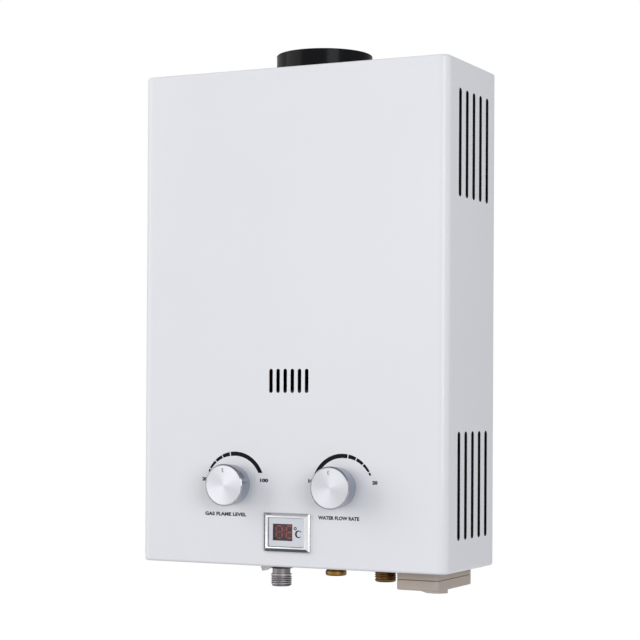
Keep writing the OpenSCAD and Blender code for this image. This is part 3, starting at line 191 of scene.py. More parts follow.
# %% World and lamps
WORLD_LIGHT, WORLD_COLOUR = 0.49, (0.97, 0.97, 1, 1)
OVERHEAD_FADE, REAR_FADE = (0.3, 0.85, 1.0, 0.4), (0.1, 0.7, 1.0, 0.5)
KEY_WATTS, KEY_SIZE, KEY_PLACE, KEY_AIM = 104, 4.1, (-3.9, -2.7, 1.3), (0, -0.06, 0)
FILL_WATTS, FILL_SIZE, FILL_PLACE, FILL_AIM = 22.5, 1.2, (1.83, -1.84, 0.3), (0.16, -0.06, 0)
FILL_COLOUR = (0.91, 0.95, 1)

world = bpy.data.worlds.new("studio_world")
bpy.context.scene.world = world
world.use_nodes = True
tree = world.node_tree
tree.nodes.clear()
rays, shown = rays_shown(tree)
way = add(tree, "SeparateXYZ", {0: add(tree, "TexCoord").outputs["Generated"]}).outputs
overhead = remap(tree, maths(tree, "ABSOLUTE", way["Z"]), *OVERHEAD_FADE)
behind = remap(tree, way["Y"], *REAR_FADE)
paper = maths(tree, "MULTIPLY", overhead, behind)
strength = maths(tree, "MAXIMUM", rays["Is Camera Ray"], paper)
dim = add(tree, "Background", {"Color": WORLD_COLOUR, "Strength": WORLD_LIGHT})
bright = add(tree, "Background", {"Color": WHITE, "Strength": strength})
add(tree, "OutputWorld", {"Surface": add(tree, "MixShader", {0: shown, 1: dim, 2: bright})})


def soft_lamp(name, place, target, size, watts, colour=(1, 1, 1)):
    """A square lamp that faces a point."""
    deselect()
    bpy.ops.object.light_add(type="AREA", location=place)
    lamp = bpy.context.object
    lamp.name = name
    lamp.data.size = size
    lamp.data.energy = watts
    lamp.data.color = colour
    lamp.rotation_euler = (Vector(target) - Vector(place)).to_track_quat("-Z", "Y").to_euler()
    return lamp


key_lamp = soft_lamp("key_lamp", KEY_PLACE, KEY_AIM, KEY_SIZE, KEY_WATTS)
fill_lamp = soft_lamp("fill_lamp", FILL_PLACE, FILL_AIM, FILL_SIZE, FILL_WATTS, FILL_COLOUR)
bpy.context.scene.view_settings.view_transform = "Standard"
print("lamps", key_lamp.name, fill_lamp.name)

# %% [markdown]
# ## Tools of the bench
# New pieces are made as by hand: a primitive at its size and place, edges picked by where they lie, then
# bevels, cuts and turns. These few helpers select, round, cut and turn in millimetres, because the real
# thing is drawn in millimetres and a metre is a clumsy unit for a knob.

# %% Selecting and boxes
ALONG_X, ALONG_Y = (0, 90, 0), (90, 0, 0)


def box_mm(node):
    """A CAD node's low and high corners in mm."""
    low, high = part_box(node)
    return low / MM, high / MM


def work_on(piece):
    """Select one piece alone, in object mode."""
    active = bpy.context.object
    if active and active.mode != "OBJECT":
        bpy.ops.object.mode_set(mode="OBJECT")
    deselect()
    piece.select_set(True)
    bpy.context.view_layer.objects.active = piece


def named(name):
    """Name the piece that was just made and move its place into its mesh."""
    piece = bpy.context.object
    piece.name = name
    piece.data.name = name
    bpy.ops.object.transform_apply(location=True, rotation=True, scale=True)
    return piece


def settle(piece, name, place, turn=(0, 0, 0)):
    """Turn a piece by angles in radians and set it down at a place in mm."""
    piece.rotation_euler = turn
    piece.location = Vector(place) * MM
    work_on(piece)
    return named(name)


def block(name, low, high):
    """A box between two corners in mm."""
    deselect()
    low, high = Vector(low), Vector(high)
    bpy.ops.mesh.primitive_cube_add(size=1, location=(low + high) / 2 * MM, scale=(high - low) * MM)
    return named(name)


def rod(name, centre, radius, length, turn=(0, 0, 0), sides=48):
    """A round bar along Z, or turned by angles in degrees."""
    deselect()
    bpy.ops.mesh.primitive_cylinder_add(
        vertices=sides, radius=radius * MM, depth=length * MM, location=Vector(centre) * MM,
        rotation=[math.radians(a) for a in turn])
    return named(name)


print("cover box in mm", [round(v, 1) for v in (*box_mm("front_cover")[0], *box_mm("front_cover")[1])])

# %% Picking and rounding edges
CLOSE_ENOUGH = 0.01
SQUARE_ON = 0.99


def same(a, b):
    """True where two lengths in mm agree."""
    return abs(a - b) < CLOSE_ENOUGH


def runs_along(axis):
    """A test for edges that run along X, Y or Z."""
    others = [i for i in range(3) if i != "XYZ".index(axis)]
    return lambda a, b: all(same(a[i], b[i]) for i in others)


def lies_at(z):
    """A test for edges that lie at one height."""
    return lambda a, b: same(a.z, z) and same(b.z, z)


def pick(piece, kind, test):
    """Open a piece in edit mode with only the edges or faces that pass a test selected; says how many."""
    work_on(piece)
    mesh = piece.data
    bpy.context.tool_settings.mesh_select_mode = (False, kind == "EDGE", kind == "FACE")
    for part in (mesh.vertices, mesh.edges, mesh.polygons):
        part.foreach_set("select", [False] * len(part))
    if kind == "EDGE":
        chosen = [edge for edge in mesh.edges if test(*(mesh.vertices[i].co / MM for i in edge.vertices))]
    else:
        chosen = [face for face in mesh.polygons if test(face.center / MM, face.normal)]
    for part in chosen:
        part.select = True
    bpy.ops.object.mode_set(mode="EDIT")
    return len(chosen)


def round_edges(piece, test, radius, steps):
    """Round the edges that pass a test."""
    pick(piece, "EDGE", test)
    bpy.ops.mesh.bevel(offset=radius * MM, segments=steps, profile=0.5, affect="EDGES")
    bpy.ops.object.mode_set(mode="OBJECT")


print("lengths agree within", CLOSE_ENOUGH, "mm")

# %% Cutting, joining and softening
SHARP_ANGLE, SOFTEN_ANGLE = math.radians(40), math.radians(35)


def apply_tool(piece, name, kind, **settings):
    """Give a piece a modifier with its settings, and apply it."""
    work_on(piece)
    tool = piece.modifiers.new(name, kind)
    for key, value in settings.items():
        setattr(tool, key, value)
    bpy.ops.object.modifier_apply(modifier=tool.name)


def combine(piece, other, how="DIFFERENCE"):
    """Cut another piece from this one, or join it on, and use the other one up."""
    apply_tool(piece, "combine", "BOOLEAN", operation=how, solver="EXACT", object=other)
    bpy.data.objects.remove(other)


def gather(name, pieces):
    """Join several pieces into one object."""
    work_on(pieces[0])
    for piece in pieces[1:]:
        piece.select_set(True)
    bpy.ops.object.join()
    return named(name)


def copy_of(piece, name, shift):
    """A copy with its own mesh, moved by a step in mm."""
    work_on(piece)
    bpy.ops.object.duplicate(linked=False)
    bpy.context.object.location = Vector(shift) * MM
    return named(name)


def smooth(piece):
    """Shade a piece smooth, with its flat faces kept flat."""
    work_on(piece)
    bpy.ops.object.shade_smooth_by_angle(angle=SHARP_ANGLE)
    apply_tool(piece, "even_faces", "WEIGHTED_NORMAL", keep_sharp=True)


def soften(piece, width, steps=2):
    """Take the sharpness off every edge, then shade the piece smooth."""
    apply_tool(piece, "soften", "BEVEL", width=width * MM, segments=steps, limit_method="ANGLE",
               angle_limit=SOFTEN_ANGLE)
    smooth(piece)


def count_faces(piece):
    """Say what was made."""
    print(piece.name, "has", len(piece.data.polygons), "faces")


print("bench tools ready")

# %% [markdown]
# ## Effects that finishes share
# Paint, plastic and metal are never one flat colour. Four effects come back again and again: a slow drift
# of tone, a fine grain that a bump can use, the rings that a lathe leaves, and the crystals of a zinc
# coat. Each is built once as a group and placed in each finish with its own values.

# %% Tone drift and grain groups
SOCKET_KINDS = {"Vector": "Vector", "Colour": "Color"}


def new_group(name, inputs, outputs):
    """Start a node group with named sockets; returns it, what it is given and its end node."""
    group = bpy.data.node_groups.new(name, "ShaderNodeTree")
    for way, labels in (("INPUT", inputs), ("OUTPUT", outputs)):
        for label in labels:
            kind = "NodeSocket" + SOCKET_KINDS.get(label, "Float")
            group.interface.new_socket(label, in_out=way, socket_type=kind)
    return group, group.nodes.new("NodeGroupInput").outputs, group.nodes.new("NodeGroupOutput")


def swung(tree, noise, swing, middle):
    """A noise of 0 to 1 made to swing about a middle."""
    return maths(tree, "MULTIPLY_ADD", maths(tree, "SUBTRACT", noise, 0.5), swing, middle)


drift_group, given, end = new_group("tone_drift", ("Vector", "Colour", "Scale", "Amount"), ("Colour",))
cloud = add(drift_group, "TexNoise", {"Vector": given["Vector"], "Scale": given["Scale"], "Detail": 3.0})
level = remap(drift_group, cloud, 0.3, 0.7, -1.0)
swing = maths(drift_group, "MULTIPLY_ADD", level, given["Amount"], 1.0)
fill(drift_group, end, {
    "Colour": add(drift_group, "HueSaturation", {"Color": given["Colour"], "Value": swing})})

grain_group, given, end = new_group(
    "fine_grain", ("Vector", "Scale", "Roughness", "Swing"), ("Height", "Roughness"))
speck = add(grain_group, "TexNoise", {"Vector": given["Vector"], "Scale": given["Scale"], "Detail": 2.0})
fill(grain_group, end, {
    "Height": speck, "Roughness": swung(grain_group, speck, given["Swing"], given["Roughness"])})
print("groups", drift_group.name, grain_group.name)

# %% Lathe rings and zinc crystals groups
def from_axis(tree, place):
    """How far a place is from the upright axis."""
    flat = add(tree, "VectorMath", {0: place, 1: (1, 1, 0)}, operation="MULTIPLY")
    return add(tree, "VectorMath", {0: flat}, operation="LENGTH").outputs["Value"]


rings_group, given, end = new_group(
    "lathe_rings", ("Vector", "Pitch", "Roughness", "Swing"), ("Height", "Roughness"))
turns = maths(rings_group, "DIVIDE", from_axis(rings_group, given["Vector"]), given["Pitch"])
line = add(rings_group, "TexNoise", {"W": turns, "Scale": 1.0, "Detail": 2.0}, noise_dimensions="1D")
fill(rings_group, end, {
    "Height": line, "Roughness": swung(rings_group, line, given["Swing"], given["Roughness"])})

spangle_group, given, end = new_group(
    "zinc_crystals", ("Vector", "Colour", "Scale", "Amount"), ("Colour", "Roughness"))
flake = add(spangle_group, "TexVoronoi", {"Vector": given["Vector"], "Scale": given["Scale"]})
tone = add(spangle_group, "SeparateColor", {0: flake.outputs["Color"]}).outputs
swing = swung(spangle_group, tone[0], given["Amount"], 1.0)
fill(spangle_group, end, {
    "Colour": add(spangle_group, "HueSaturation", {"Color": given["Colour"], "Value": swing}),
    "Roughness": maths(spangle_group, "MULTIPLY_ADD", tone[1], 0.2, 0.3)})
print("groups", rings_group.name, spangle_group.name)

# %% [markdown]
# ## Starting a finish
# A finish is a Principled shader whose colour drifts and whose roughness and bump come from grain. Most
# pieces share that recipe and differ in their numbers, so one function starts them all. What is the same
# all over a surface, such as the metal amount or the coat, is typed on the shader itself.

# %% Recipe for a grained finish
GRAIN_BUMP = 0.5


def start_finish(name, constant):
    """A new finish with its node tree, its shader and the place that its patterns read."""
    finish = bpy.data.materials.new(name)
    finish.use_nodes = True
    tree = finish.node_tree
    shader = tree.nodes["Principled BSDF"]
    fill(tree, shader, {socket.replace("_", " "): value for socket, value in constant.items()})
    return finish, tree, shader, add(tree, "TexCoord").outputs["Object"]


def effect(tree, group, **values):
    """Put a shared effect into a finish with its own values; gives what comes out."""
    return add(tree, "Group", values, node_tree=group).outputs


def surface(tree, shader, colour, roughness, height, strength, depth):
    """Lead colour, roughness and a bump of a depth in mm to the shader."""
    bump = add(tree, "Bump", {"Height": height, "Strength": strength, "Distance": depth * MM})
    fill(tree, shader, {"Base Color": colour, "Roughness": roughness, "Normal": bump})


def grained(name, colour, roughness, drift, grain, stretch=(1, 1, 1), **constant):
    """A finish whose tone drifts by (scale, amount), with a grain of (scale, swing, depth in mm)."""
    finish, tree, shader, spot = start_finish(name, constant)
    along = add(tree, "Mapping", {"Vector": spot, "Scale": stretch}).outputs[0]
    tone = effect(tree, drift_group, Vector=spot, Colour=colour, Scale=drift[0], Amount=drift[1])
    speck = effect(tree, grain_group, Vector=along, Scale=grain[0], Roughness=roughness, Swing=grain[1])
    surface(tree, shader, tone["Colour"], speck["Roughness"], speck["Height"], GRAIN_BUMP, grain[2])
    return finish


print("finish recipe ready")

# %% Wearing a finish
def wear(piece, finish):
    """Give a piece one finish."""
    piece.data.materials.clear()
    piece.data.materials.append(finish)


def dress(finish, *nodes):
    """Give CAD nodes a finish; a node keeps its own shape."""
    for node in nodes:
        wear(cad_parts[node], finish)
    print(finish.name, "on", len(nodes), "nodes")


def paint_faces(piece, finish, test):
    """Give the faces that pass a test a further finish."""
    piece.data.materials.append(finish)
    count = pick(piece, "FACE", test)
    piece.active_material_index = len(piece.data.materials) - 1
    bpy.ops.object.material_slot_assign()
    bpy.ops.object.mode_set(mode="OBJECT")
    print(finish.name, "on", count, "faces of", piece.name)


def place_on(piece, finish, body, slot, *nodes):
    """Finish a new piece, and say what carries it and which nodes it stands for; its slot argument is not
    used.
    """
    wear(piece, finish)
    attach(piece, body)
    if nodes:
        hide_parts(*nodes)
    count_faces(piece)


print("ready to dress", len(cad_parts), "nodes")

# %% [markdown]
# ## The white cover
# The cover is one sheet of steel, folded round the front and sides with short returns at the top and
# bottom. It could be extruded from a drawn outline. A block shows the folding better: its upright front
# corners are rounded wide, its top and bottom edges tight, the rear is opened, and the wall is given the
# thickness of the sheet.

# %% Fold the cover
CORNER_R = 9.0
EDGE_R = 2.5
SHEET_T = 0.7

cover_low, cover_high = box_mm("front_cover")
FRONT_Y, REAR_Y = cover_low.y, cover_high.y
BOTTOM_Z, TOP_Z = cover_low.z, cover_high.z


def front_corner(a, b):
    """True for the two upright edges of the front."""
    return same(a.x, b.x) and same(a.y, FRONT_Y) and same(b.y, FRONT_Y)


def end_fold(a, b):
    """True for the edges round the top and the bottom, apart from the rear ones."""
    at_rear = same(a.y, REAR_Y) and same(b.y, REAR_Y)
    return same(a.z, b.z) and (same(a.z, TOP_Z) or same(a.z, BOTTOM_Z)) and not at_rear


cover = block("cover_shell", cover_low, cover_high)
round_edges(cover, front_corner, CORNER_R, 10)
round_edges(cover, end_fold, EDGE_R, 5)
pick(cover, "FACE", lambda middle, normal: normal.y > SQUARE_ON)
bpy.ops.mesh.delete(type="FACE")
apply_tool(cover, "sheet", "SOLIDIFY", thickness=SHEET_T * MM, offset=-1, use_even_offset=True)
count_faces(cover)

# %% [markdown]
# The openings are punched. One slot is made and copied along its row, for the sight slots over the burner
# and the long vents of the sides, and all the punches go through the sheet in one cut.

# %% Slot punches
RETURN_W = 14.0
CUT_PAST, PUNCH_OUT, PUNCH_IN = 9, 3, 4
SIGHTS, SIGHT_W, SIGHT_L, SIGHT_PITCH, SIGHT_Z = 6, 3.9, 23.1, 7.64, -61.7
VENTS, VENT_W, VENT_L, VENT_PITCH, VENT_Y = 5, 6.9, 101.8, 17.4, -20.8
VENT_LEVELS = (161.9, -159.6)
ROUND_END = 0.498

opening = block("opening", (cover_low.x + RETURN_W, FRONT_Y + RETURN_W, BOTTOM_Z - CUT_PAST),
                (cover_high.x - RETURN_W, REAR_Y + CUT_PAST, TOP_Z + CUT_PAST))
combine(cover, opening)

sight_x = -(SIGHTS - 1) / 2 * SIGHT_PITCH
first_sight = block("sight_punch", (sight_x - SIGHT_W / 2, FRONT_Y - PUNCH_OUT, SIGHT_Z - SIGHT_L / 2),
                    (sight_x + SIGHT_W / 2, FRONT_Y + PUNCH_IN, SIGHT_Z + SIGHT_L / 2))
round_edges(first_sight, runs_along("Y"), SIGHT_W * ROUND_END, 7)
punches = [first_sight]
for i in range(1, SIGHTS):
    punches.append(copy_of(first_sight, "sight_punch", (i * SIGHT_PITCH, 0, 0)))

vent_z = VENT_LEVELS[0]
first_vent = block("vent_punch", (cover_low.x - PUNCH_OUT, VENT_Y - VENT_W / 2, vent_z - VENT_L / 2),
                   (cover_high.x + PUNCH_OUT, VENT_Y + VENT_W / 2, vent_z + VENT_L / 2))
round_edges(first_vent, runs_along("X"), VENT_W * ROUND_END, 7)
punches.append(first_vent)
for i in range(VENTS):
    for level in VENT_LEVELS:
        if (i, level) != (0, vent_z):
            punches.append(copy_of(first_vent, "vent_punch", (0, -i * VENT_PITCH, level - vent_z)))
print("slot punches", len(punches))

# %% Punch the openings
KNOB_X, KNOB_Z = 56.2, -161.8
SPINDLE_HOLE_R, SCREW_HOLE_R = 6, 2.1
SCREW_X, SCREW_Y = 153.5, -14
DISPLAY_Z = -206.4
DISPLAY_HOLE = (42.7, 32.2)


def panel_box(name, size, front, back, x=0):
    """A block of a width and height about the display's middle, between two depths."""
    width, height = size
    return block(name, (x - width / 2, front, DISPLAY_Z - height / 2),
                 (x + width / 2, back, DISPLAY_Z + height / 2))


for side in (-1, 1):
    punches.append(rod("spindle_punch", (side * KNOB_X, FRONT_Y, KNOB_Z), SPINDLE_HOLE_R, 8, ALONG_Y))
    punches.append(rod("screw_punch", (side * SCREW_X, SCREW_Y, 0), SCREW_HOLE_R, TOP_Z - BOTTOM_Z + CUT_PAST,
                       sides=32))
punches.append(panel_box("display_punch", DISPLAY_HOLE, FRONT_Y - PUNCH_OUT, FRONT_Y + PUNCH_IN))
combine(cover, gather("punches", punches))
soften(cover, 0.22)
count_faces(cover)

# %% [markdown]
# The paint is a baked white enamel, a little cool. Sprayed enamel dries with a faint orange-peel, so the
# bump is broad and shallow, and a thin clear coat gives the soft sheen along the rounded corner. The
# inside gets no enamel, only a dark primer that is kept dark as painted shade, and the walls of the punched
# vents get the same dark colour as painted shade, which is why the openings look black.

# %% Cover paint
cover_paint = grained("cover_paint", srgb(240, 240, 242), 0.4, (5, 0.012), (420, 0.06, 0.03),
                      Specular_IOR_Level=0.08, Coat_Weight=0.44, Coat_Roughness=0.14)
# dark primer inside, kept dark as painted shade, and painted shade on the walls of the vents
primer_and_painted_shade = grained("primer_and_painted_shade", srgb(40, 40, 42), 0.7, (9, 0.1), (600, 0.1, 0.03))
VENT_EDGE = 3


def faces_in(middle, normal):
    """True for the sheet's inner side, which looks towards the middle, and for the walls of the vents."""
    clear = (cover_high.x - abs(middle.x), middle.y - FRONT_Y, TOP_Z - abs(middle.z))
    out = (math.copysign(normal.x, normal.x * middle.x), -normal.y,
           math.copysign(normal.z, normal.z * middle.z))
    in_vents = FRONT_Y + CORNER_R < middle.y < REAR_Y - VENT_EDGE and abs(middle.z) < TOP_Z - VENT_PITCH
    vent_wall = in_vents and clear[0] < SHEET_T and abs(normal.x) < 0.4
    return vent_wall or min(clear) > SHEET_T * 0.9 and max(out) < 0.05


place_on(cover, cover_paint, "casing", "cover_paint", "front_cover")
paint_faces(cover, primer_and_painted_shade, faces_in)

# %% [markdown]
# ## Turning on a lathe
# Knobs, pipe ends, the flue collar and screws are round, so they are turned: an outline is drawn point by
# point from one vertex, then spun about its axis. Spinning leaves a seam of doubled points, which are
# merged before the normals are set outwards.

# %% Lathe tool
TO_FRONT = (math.pi / 2, 0, 0)


def draw_loop(corners):
    """Draw a closed line through points in mm from one vertex, and stay in edit mode with it selected."""
    deselect()
    bpy.ops.mesh.primitive_plane_add(size=MM)
    bpy.context.tool_settings.mesh_select_mode = (True, False, False)
    bpy.ops.object.mode_set(mode="EDIT")
    bpy.ops.mesh.select_all(action="SELECT")
    bpy.ops.mesh.merge(type="CENTER")
    corners = [Vector(corner) * MM for corner in corners]
    bpy.ops.transform.translate(value=corners[0])
    for a, b in zip(corners, corners[1:] + corners[:1]):
        bpy.ops.mesh.extrude_vertices_move(TRANSFORM_OT_translate={"value": b - a})
    bpy.ops.mesh.select_all(action="SELECT")
    bpy.ops.mesh.remove_doubles(threshold=0.001 * MM)
    bpy.ops.mesh.select_all(action="SELECT")


def face_outwards():
    """Point all faces of the open mesh outwards and leave edit mode."""
    bpy.ops.mesh.select_all(action="SELECT")
    bpy.ops.mesh.normals_make_consistent(inside=False)
    bpy.ops.object.mode_set(mode="OBJECT")


def turned(name, outline, centre, turn=(0, 0, 0), steps=72):
    """Spin a closed outline of (radius, height) points in mm about an axis."""
    draw_loop([(r, 0, h) for r, h in outline])
    bpy.ops.mesh.spin(steps=steps, angle=math.tau, center=(0, 0, 0), axis=(0, 0, 1))
    bpy.ops.mesh.select_all(action="SELECT")
    bpy.ops.mesh.remove_doubles(threshold=0.002 * MM)
    face_outwards()
    return settle(bpy.context.object, name, centre, turn)


def arc_points(centre, radii, angles):
    """Points on an arc with two radii, at angles in degrees."""
    turns = [math.radians(a) for a in angles]
    return [(centre[0] + radii[0] * math.cos(a), centre[1] + radii[1] * math.sin(a)) for a in turns]


print("lathe ready")

# %% [markdown]
# ## The flue collar
# The collar that takes the flue pipe is a short ring of sheet with a flange screwed to the roof. Its rim
# is rolled over. An outline with the roll drawn in gives that in one turn, and the flange is cut straight
# where it meets the wall side.

# %% Flue collar
FLUE_X, FLUE_Y = 2.0, -51.0
FLUE_BORE_R, COLLAR_R, FLANGE_R = 45.5, 47.3, 54.0
FLANGE_LOW, FLANGE_TOP, FILLET = 239, 240.5, 0.9
ROLL_R, ROLL_MIDDLE, ROLL_FOOT = 1.1, 46.4, 1.6
WALL_GAP = 2.2
collar_low, collar_high = box_mm("flue_collar")
rim_z = collar_high.z
roll = arc_points((ROLL_MIDDLE, rim_z - ROLL_R), (ROLL_R, ROLL_R), range(-20, 181, 20))
collar = turned("flue_ring", [
    (FLUE_BORE_R, collar_low.z), (COLLAR_R, collar_low.z), (COLLAR_R, FLANGE_LOW), (FLANGE_R, FLANGE_LOW),
    (FLANGE_R, FLANGE_TOP), (COLLAR_R + FILLET, FLANGE_TOP), (COLLAR_R, FLANGE_TOP + FILLET),
    (COLLAR_R, rim_z - 2 * ROLL_R), *roll, (FLUE_BORE_R, rim_z - ROLL_FOOT)], (FLUE_X, FLUE_Y, 0), steps=128)
combine(collar, block("wall_trim", (-90, -WALL_GAP, FLANGE_LOW - 0.1), (90, CUT_PAST, FLANGE_TOP + 0.1)))
soften(collar, 0.25)
black_enamel = grained("black_enamel", srgb(15, 15, 17), 0.2, (16, 0.25), (260, 0.08, 0.02),
                       Specular_IOR_Level=0.08)
place_on(collar, black_enamel, "casing", "black_enamel", "flue_collar")

# %% [markdown]
# ## Screws
# The collar and the cover are held by small pan-head screws with a cross recess. One screw is turned, the
# cross is cut with two thin bars, and it is copied to each place.

# %% Collar and cover screws
CROSS_SPAN, CROSS_BAR, HEAD_RIM, TIP_SHARE = 1.1, 0.26, 0.35, 0.6
CROSS_TURN = math.radians(20)
COLLAR_SCREW_OUT = 50.65


def pan_screw(name, shank_r, head_r, head_h, length, centre, tip_over=0):
    """One pan-head screw with a cross recess, its head's seat at the centre."""
    rim = head_h * HEAD_RIM
    crown = arc_points((0, rim), (head_r, head_h - rim), range(0, 90, 15))
    screw = turned(name, [
        (0, -length), (shank_r * TIP_SHARE, -length), (shank_r, -length + shank_r), (shank_r, 0),
        (head_r, 0), *crown, (0, head_h)], (0, 0, 0), steps=28)
    span, bar = head_r * CROSS_SPAN / 2, head_r * CROSS_BAR / 2
    for x, y in ((span, bar), (bar, span)):
        combine(screw, block("cross", (-x, -y, rim), (x, y, head_h + 1)))
    return settle(screw, name, centre, (tip_over, 0, CROSS_TURN))


diagonal = COLLAR_SCREW_OUT * math.sqrt(0.5)
first = pan_screw("collar_screw", 1.6, 3.0, 1.8, 3.6, (FLUE_X + diagonal, FLUE_Y + diagonal, FLANGE_TOP))
collar_screws = [first]
for dx, dy in ((-2, 0), (-2, -2), (0, -2)):
    collar_screws.append(copy_of(first, "collar_screw", (dx * diagonal, dy * diagonal, 0)))

head_h = box_mm("cover_screws")[1].z - TOP_Z
cover_screws = [pan_screw("cover_screw", 1.9, 3.6, head_h, 6, (-SCREW_X, SCREW_Y, z), tip_over)
                for z, tip_over in ((TOP_Z, 0), (BOTTOM_Z, math.pi))]
cover_screws += [copy_of(screw, "cover_screw", (2 * SCREW_X, 0, 0)) for screw in cover_screws]
steel = grained("steel", srgb(176, 178, 182), 0.32, (60, 0.1), (1500, 0.2, 0.02), Metallic=1.0)
for screws, name in ((collar_screws, "collar_screw"), (cover_screws, "cover_screw")):
    screws = gather(name + "_set", screws)
    smooth(screws)
    place_on(screws, steel, "casing", "steel", name + "s")

# %% [markdown]
# ## The two knobs
# Each knob is a plated cup with a polished bevel round a spun metal disc, and a small round recess in the
# disc marks where it points. The cup is turned from its outline. The disc is turned too, and the recess
# is cut with a short rod. The second knob is a copy of the first.

# %% Knob grip and face
KNOB_R, KNOB_FACE, KNOB_GAP, KNOB_BEVEL, KNOB_STEPS = 20.25, 26.0, 8.0, 0.9, 112
SKIRT_R, SKIRT_T, HUB_R, HUB_LOW, CUP_FLOOR, SPINDLE_R = 19.05, 2, 7.0, 0.6, 21, 3.1
CAP_R, CAP_T, CAP_GAP, CAP_EDGE = 18.95, 1, 0.1, 0.2
MARK_R, MARK_OUT, MARK_DEPTH = 2.1, 14.5, 0.8
flame_axis = (-KNOB_X, FRONT_Y, KNOB_Z)
seat_h = KNOB_FACE - CAP_T

flame_grip = turned("flame_grip", [
    (SPINDLE_R, HUB_LOW), (HUB_R, HUB_LOW), (HUB_R, CUP_FLOOR), (SKIRT_R - SKIRT_T, CUP_FLOOR),
    (SKIRT_R - SKIRT_T, KNOB_GAP), (SKIRT_R, KNOB_GAP), (KNOB_R, KNOB_FACE - KNOB_BEVEL),
    (KNOB_R - KNOB_BEVEL, KNOB_FACE), (CAP_R + CAP_GAP, KNOB_FACE), (CAP_R + CAP_GAP, seat_h),
    (SPINDLE_R, seat_h)], flame_axis, TO_FRONT, KNOB_STEPS)
soften(flame_grip, 0.16)

flame_face = turned("flame_face", [
    (0, seat_h), (CAP_R, seat_h), (CAP_R, KNOB_FACE - CAP_EDGE), (CAP_R - CAP_EDGE, KNOB_FACE),
    (0, KNOB_FACE)], flame_axis, TO_FRONT, KNOB_STEPS)
mark_at = (-KNOB_X, FRONT_Y - KNOB_FACE, KNOB_Z + MARK_OUT)
combine(flame_face, rod("mark", mark_at, MARK_R, 2 * MARK_DEPTH, ALONG_Y))
soften(flame_face, 0.1)
to_water = (2 * KNOB_X, 0, 0)
water_grip = copy_of(flame_grip, "water_grip", to_water)
water_face = copy_of(flame_face, "water_face", to_water)
print("knob face reaches y", round(FRONT_Y - KNOB_FACE, 1))

# %% [markdown]
# The grip is satin plated, so it is a smooth metal with a faint grain. The disc is spun: fine rings run
# round its middle and stretch the highlight into a bright wedge, so the shader is given anisotropy that
# follows the rings, and the rings' own coordinates are centred on each knob by a Mapping node.

# %% Recipe for a turned metal
# painted shadow: the share of colour kept on a neck under the casing
NECK_PAINTED_SHADOW = 0.37
SPUN_DRIFT, SPUN_SWING, SPUN_BUMP = (45, 0.03), 0.16, 0.4


def groove_dirt_and_shade(tree, place, colour, root, crest, ceiling, least):
    """Darken a colour near a thread's root radius in mm, as dirt and painted shade; above a height in mm the
    darkening stops at a set share, a painted shadow under the casing.
    """
    height = add(tree, "SeparateXYZ", {0: place}).outputs["Z"]
    dirt_and_shade_share = remap(tree, from_axis(tree, place), root * MM, crest * MM, least)
    above = maths(tree, "GREATER_THAN", height, ceiling * MM)
    keep = maths(tree, "MAXIMUM", dirt_and_shade_share, maths(tree, "MULTIPLY", above, NECK_PAINTED_SHADOW))
    return add(tree, "HueSaturation", {"Color": colour, "Value": keep})


def spun(name, colour, centre, axis_turn, pitch, roughness, depth, dirt_and_shade=None, **constant):
    """A turned metal whose rings run round a centre; the last argument gives where its grooves are darkened,
    as dirt and painted shade.
    """
    finish, tree, shader, spot = start_finish(name, {"Metallic": 1.0, **constant})
    middle = add(tree, "Mapping", {"Vector": spot, "Location": [-v * MM for v in centre]})
    upright = add(tree, "Mapping", {"Vector": middle, "Rotation": axis_turn}).outputs[0]
    scale, amount = SPUN_DRIFT
    shade = effect(tree, drift_group, Vector=spot, Colour=colour, Scale=scale, Amount=amount)["Colour"]
    rings = effect(tree, rings_group, Vector=upright, Pitch=pitch * MM, Roughness=roughness,
                   Swing=SPUN_SWING)
    if dirt_and_shade:
        shade = groove_dirt_and_shade(tree, upright, shade, *dirt_and_shade)
    surface(tree, shader, shade, rings["Roughness"], rings["Height"], SPUN_BUMP, depth)
    return finish


print("turned metal ready")

# %% Knob finishes
knob_plating = grained("knob_plating", srgb(166, 173, 186), 0.26, (30, 0.03), (1600, 0.06, 0.006),
                       Metallic=1.0)
# painted reflection: a darker, warmer metal on the polished bevel stands in for a dim reflection
bevel_painted_reflection = grained("bevel_painted_reflection", srgb(150, 145, 143), 0.1, (60, 0.1), (1600, 0.04, 0.003),
                       Metallic=1.0)
# painted shade: a dark metal on the walls of the pointer recess
recess_painted_shade = grained("recess_painted_shade", srgb(74, 74, 78), 0.3, (60, 0.1), (1600, 0.06, 0.004), Metallic=1.0)


def on_bevel(middle, normal):
    """True for the polished bevel at the front of a grip."""
    return middle.y < FRONT_Y - KNOB_FACE + KNOB_BEVEL and -0.9 < normal.y < -0.3


for side, grip, face, body in ((-1, flame_grip, flame_face, "flame_knob"),
                               (1, water_grip, water_face, "water_knob")):
    spun_face = spun(body + "_spun", srgb(197, 199, 204), (side * KNOB_X, 0, KNOB_Z), TO_FRONT,
                     0.22, 0.36, 0.004, Anisotropic=0.6)
    tree = spun_face.node_tree
    fill(tree, tree.nodes["Principled BSDF"], {
        "Tangent": add(tree, "Tangent", direction_type="RADIAL", axis="Y")})
    place_on(grip, knob_plating, body, "knob_plating", body)
    place_on(face, spun_face, body, "knob_face", body + "_cap")
    paint_faces(grip, bevel_painted_reflection, on_bevel)
    paint_faces(face, recess_painted_shade, lambda middle, normal: abs(normal.y) < 0.9 and
                math.hypot(middle.x - side * KNOB_X, middle.z - KNOB_Z) < CAP_R - 1)

# %% [markdown]
# ## Printed scales
# A tapering arc round each knob shows which way is more. Ink is a very thin layer, so each mark is a flat
# outline filled and given four hundredths of a millimetre. The arcs are drawn as short tapering strips
# with gaps between them, and plain numbers stand at their ends.

# %% Ink tool
INK_T = 0.04


def flat_plate(name, points, front, thick):
    """Fill an outline of (x, z) points in mm and give it a thickness behind its front."""
    draw_loop([(x, front, z) for x, z in points])
    bpy.ops.mesh.edge_face_add()
    bpy.ops.mesh.extrude_region_move(TRANSFORM_OT_translate={"value": (0, thick * MM, 0)})
    face_outwards()
    return named(name)


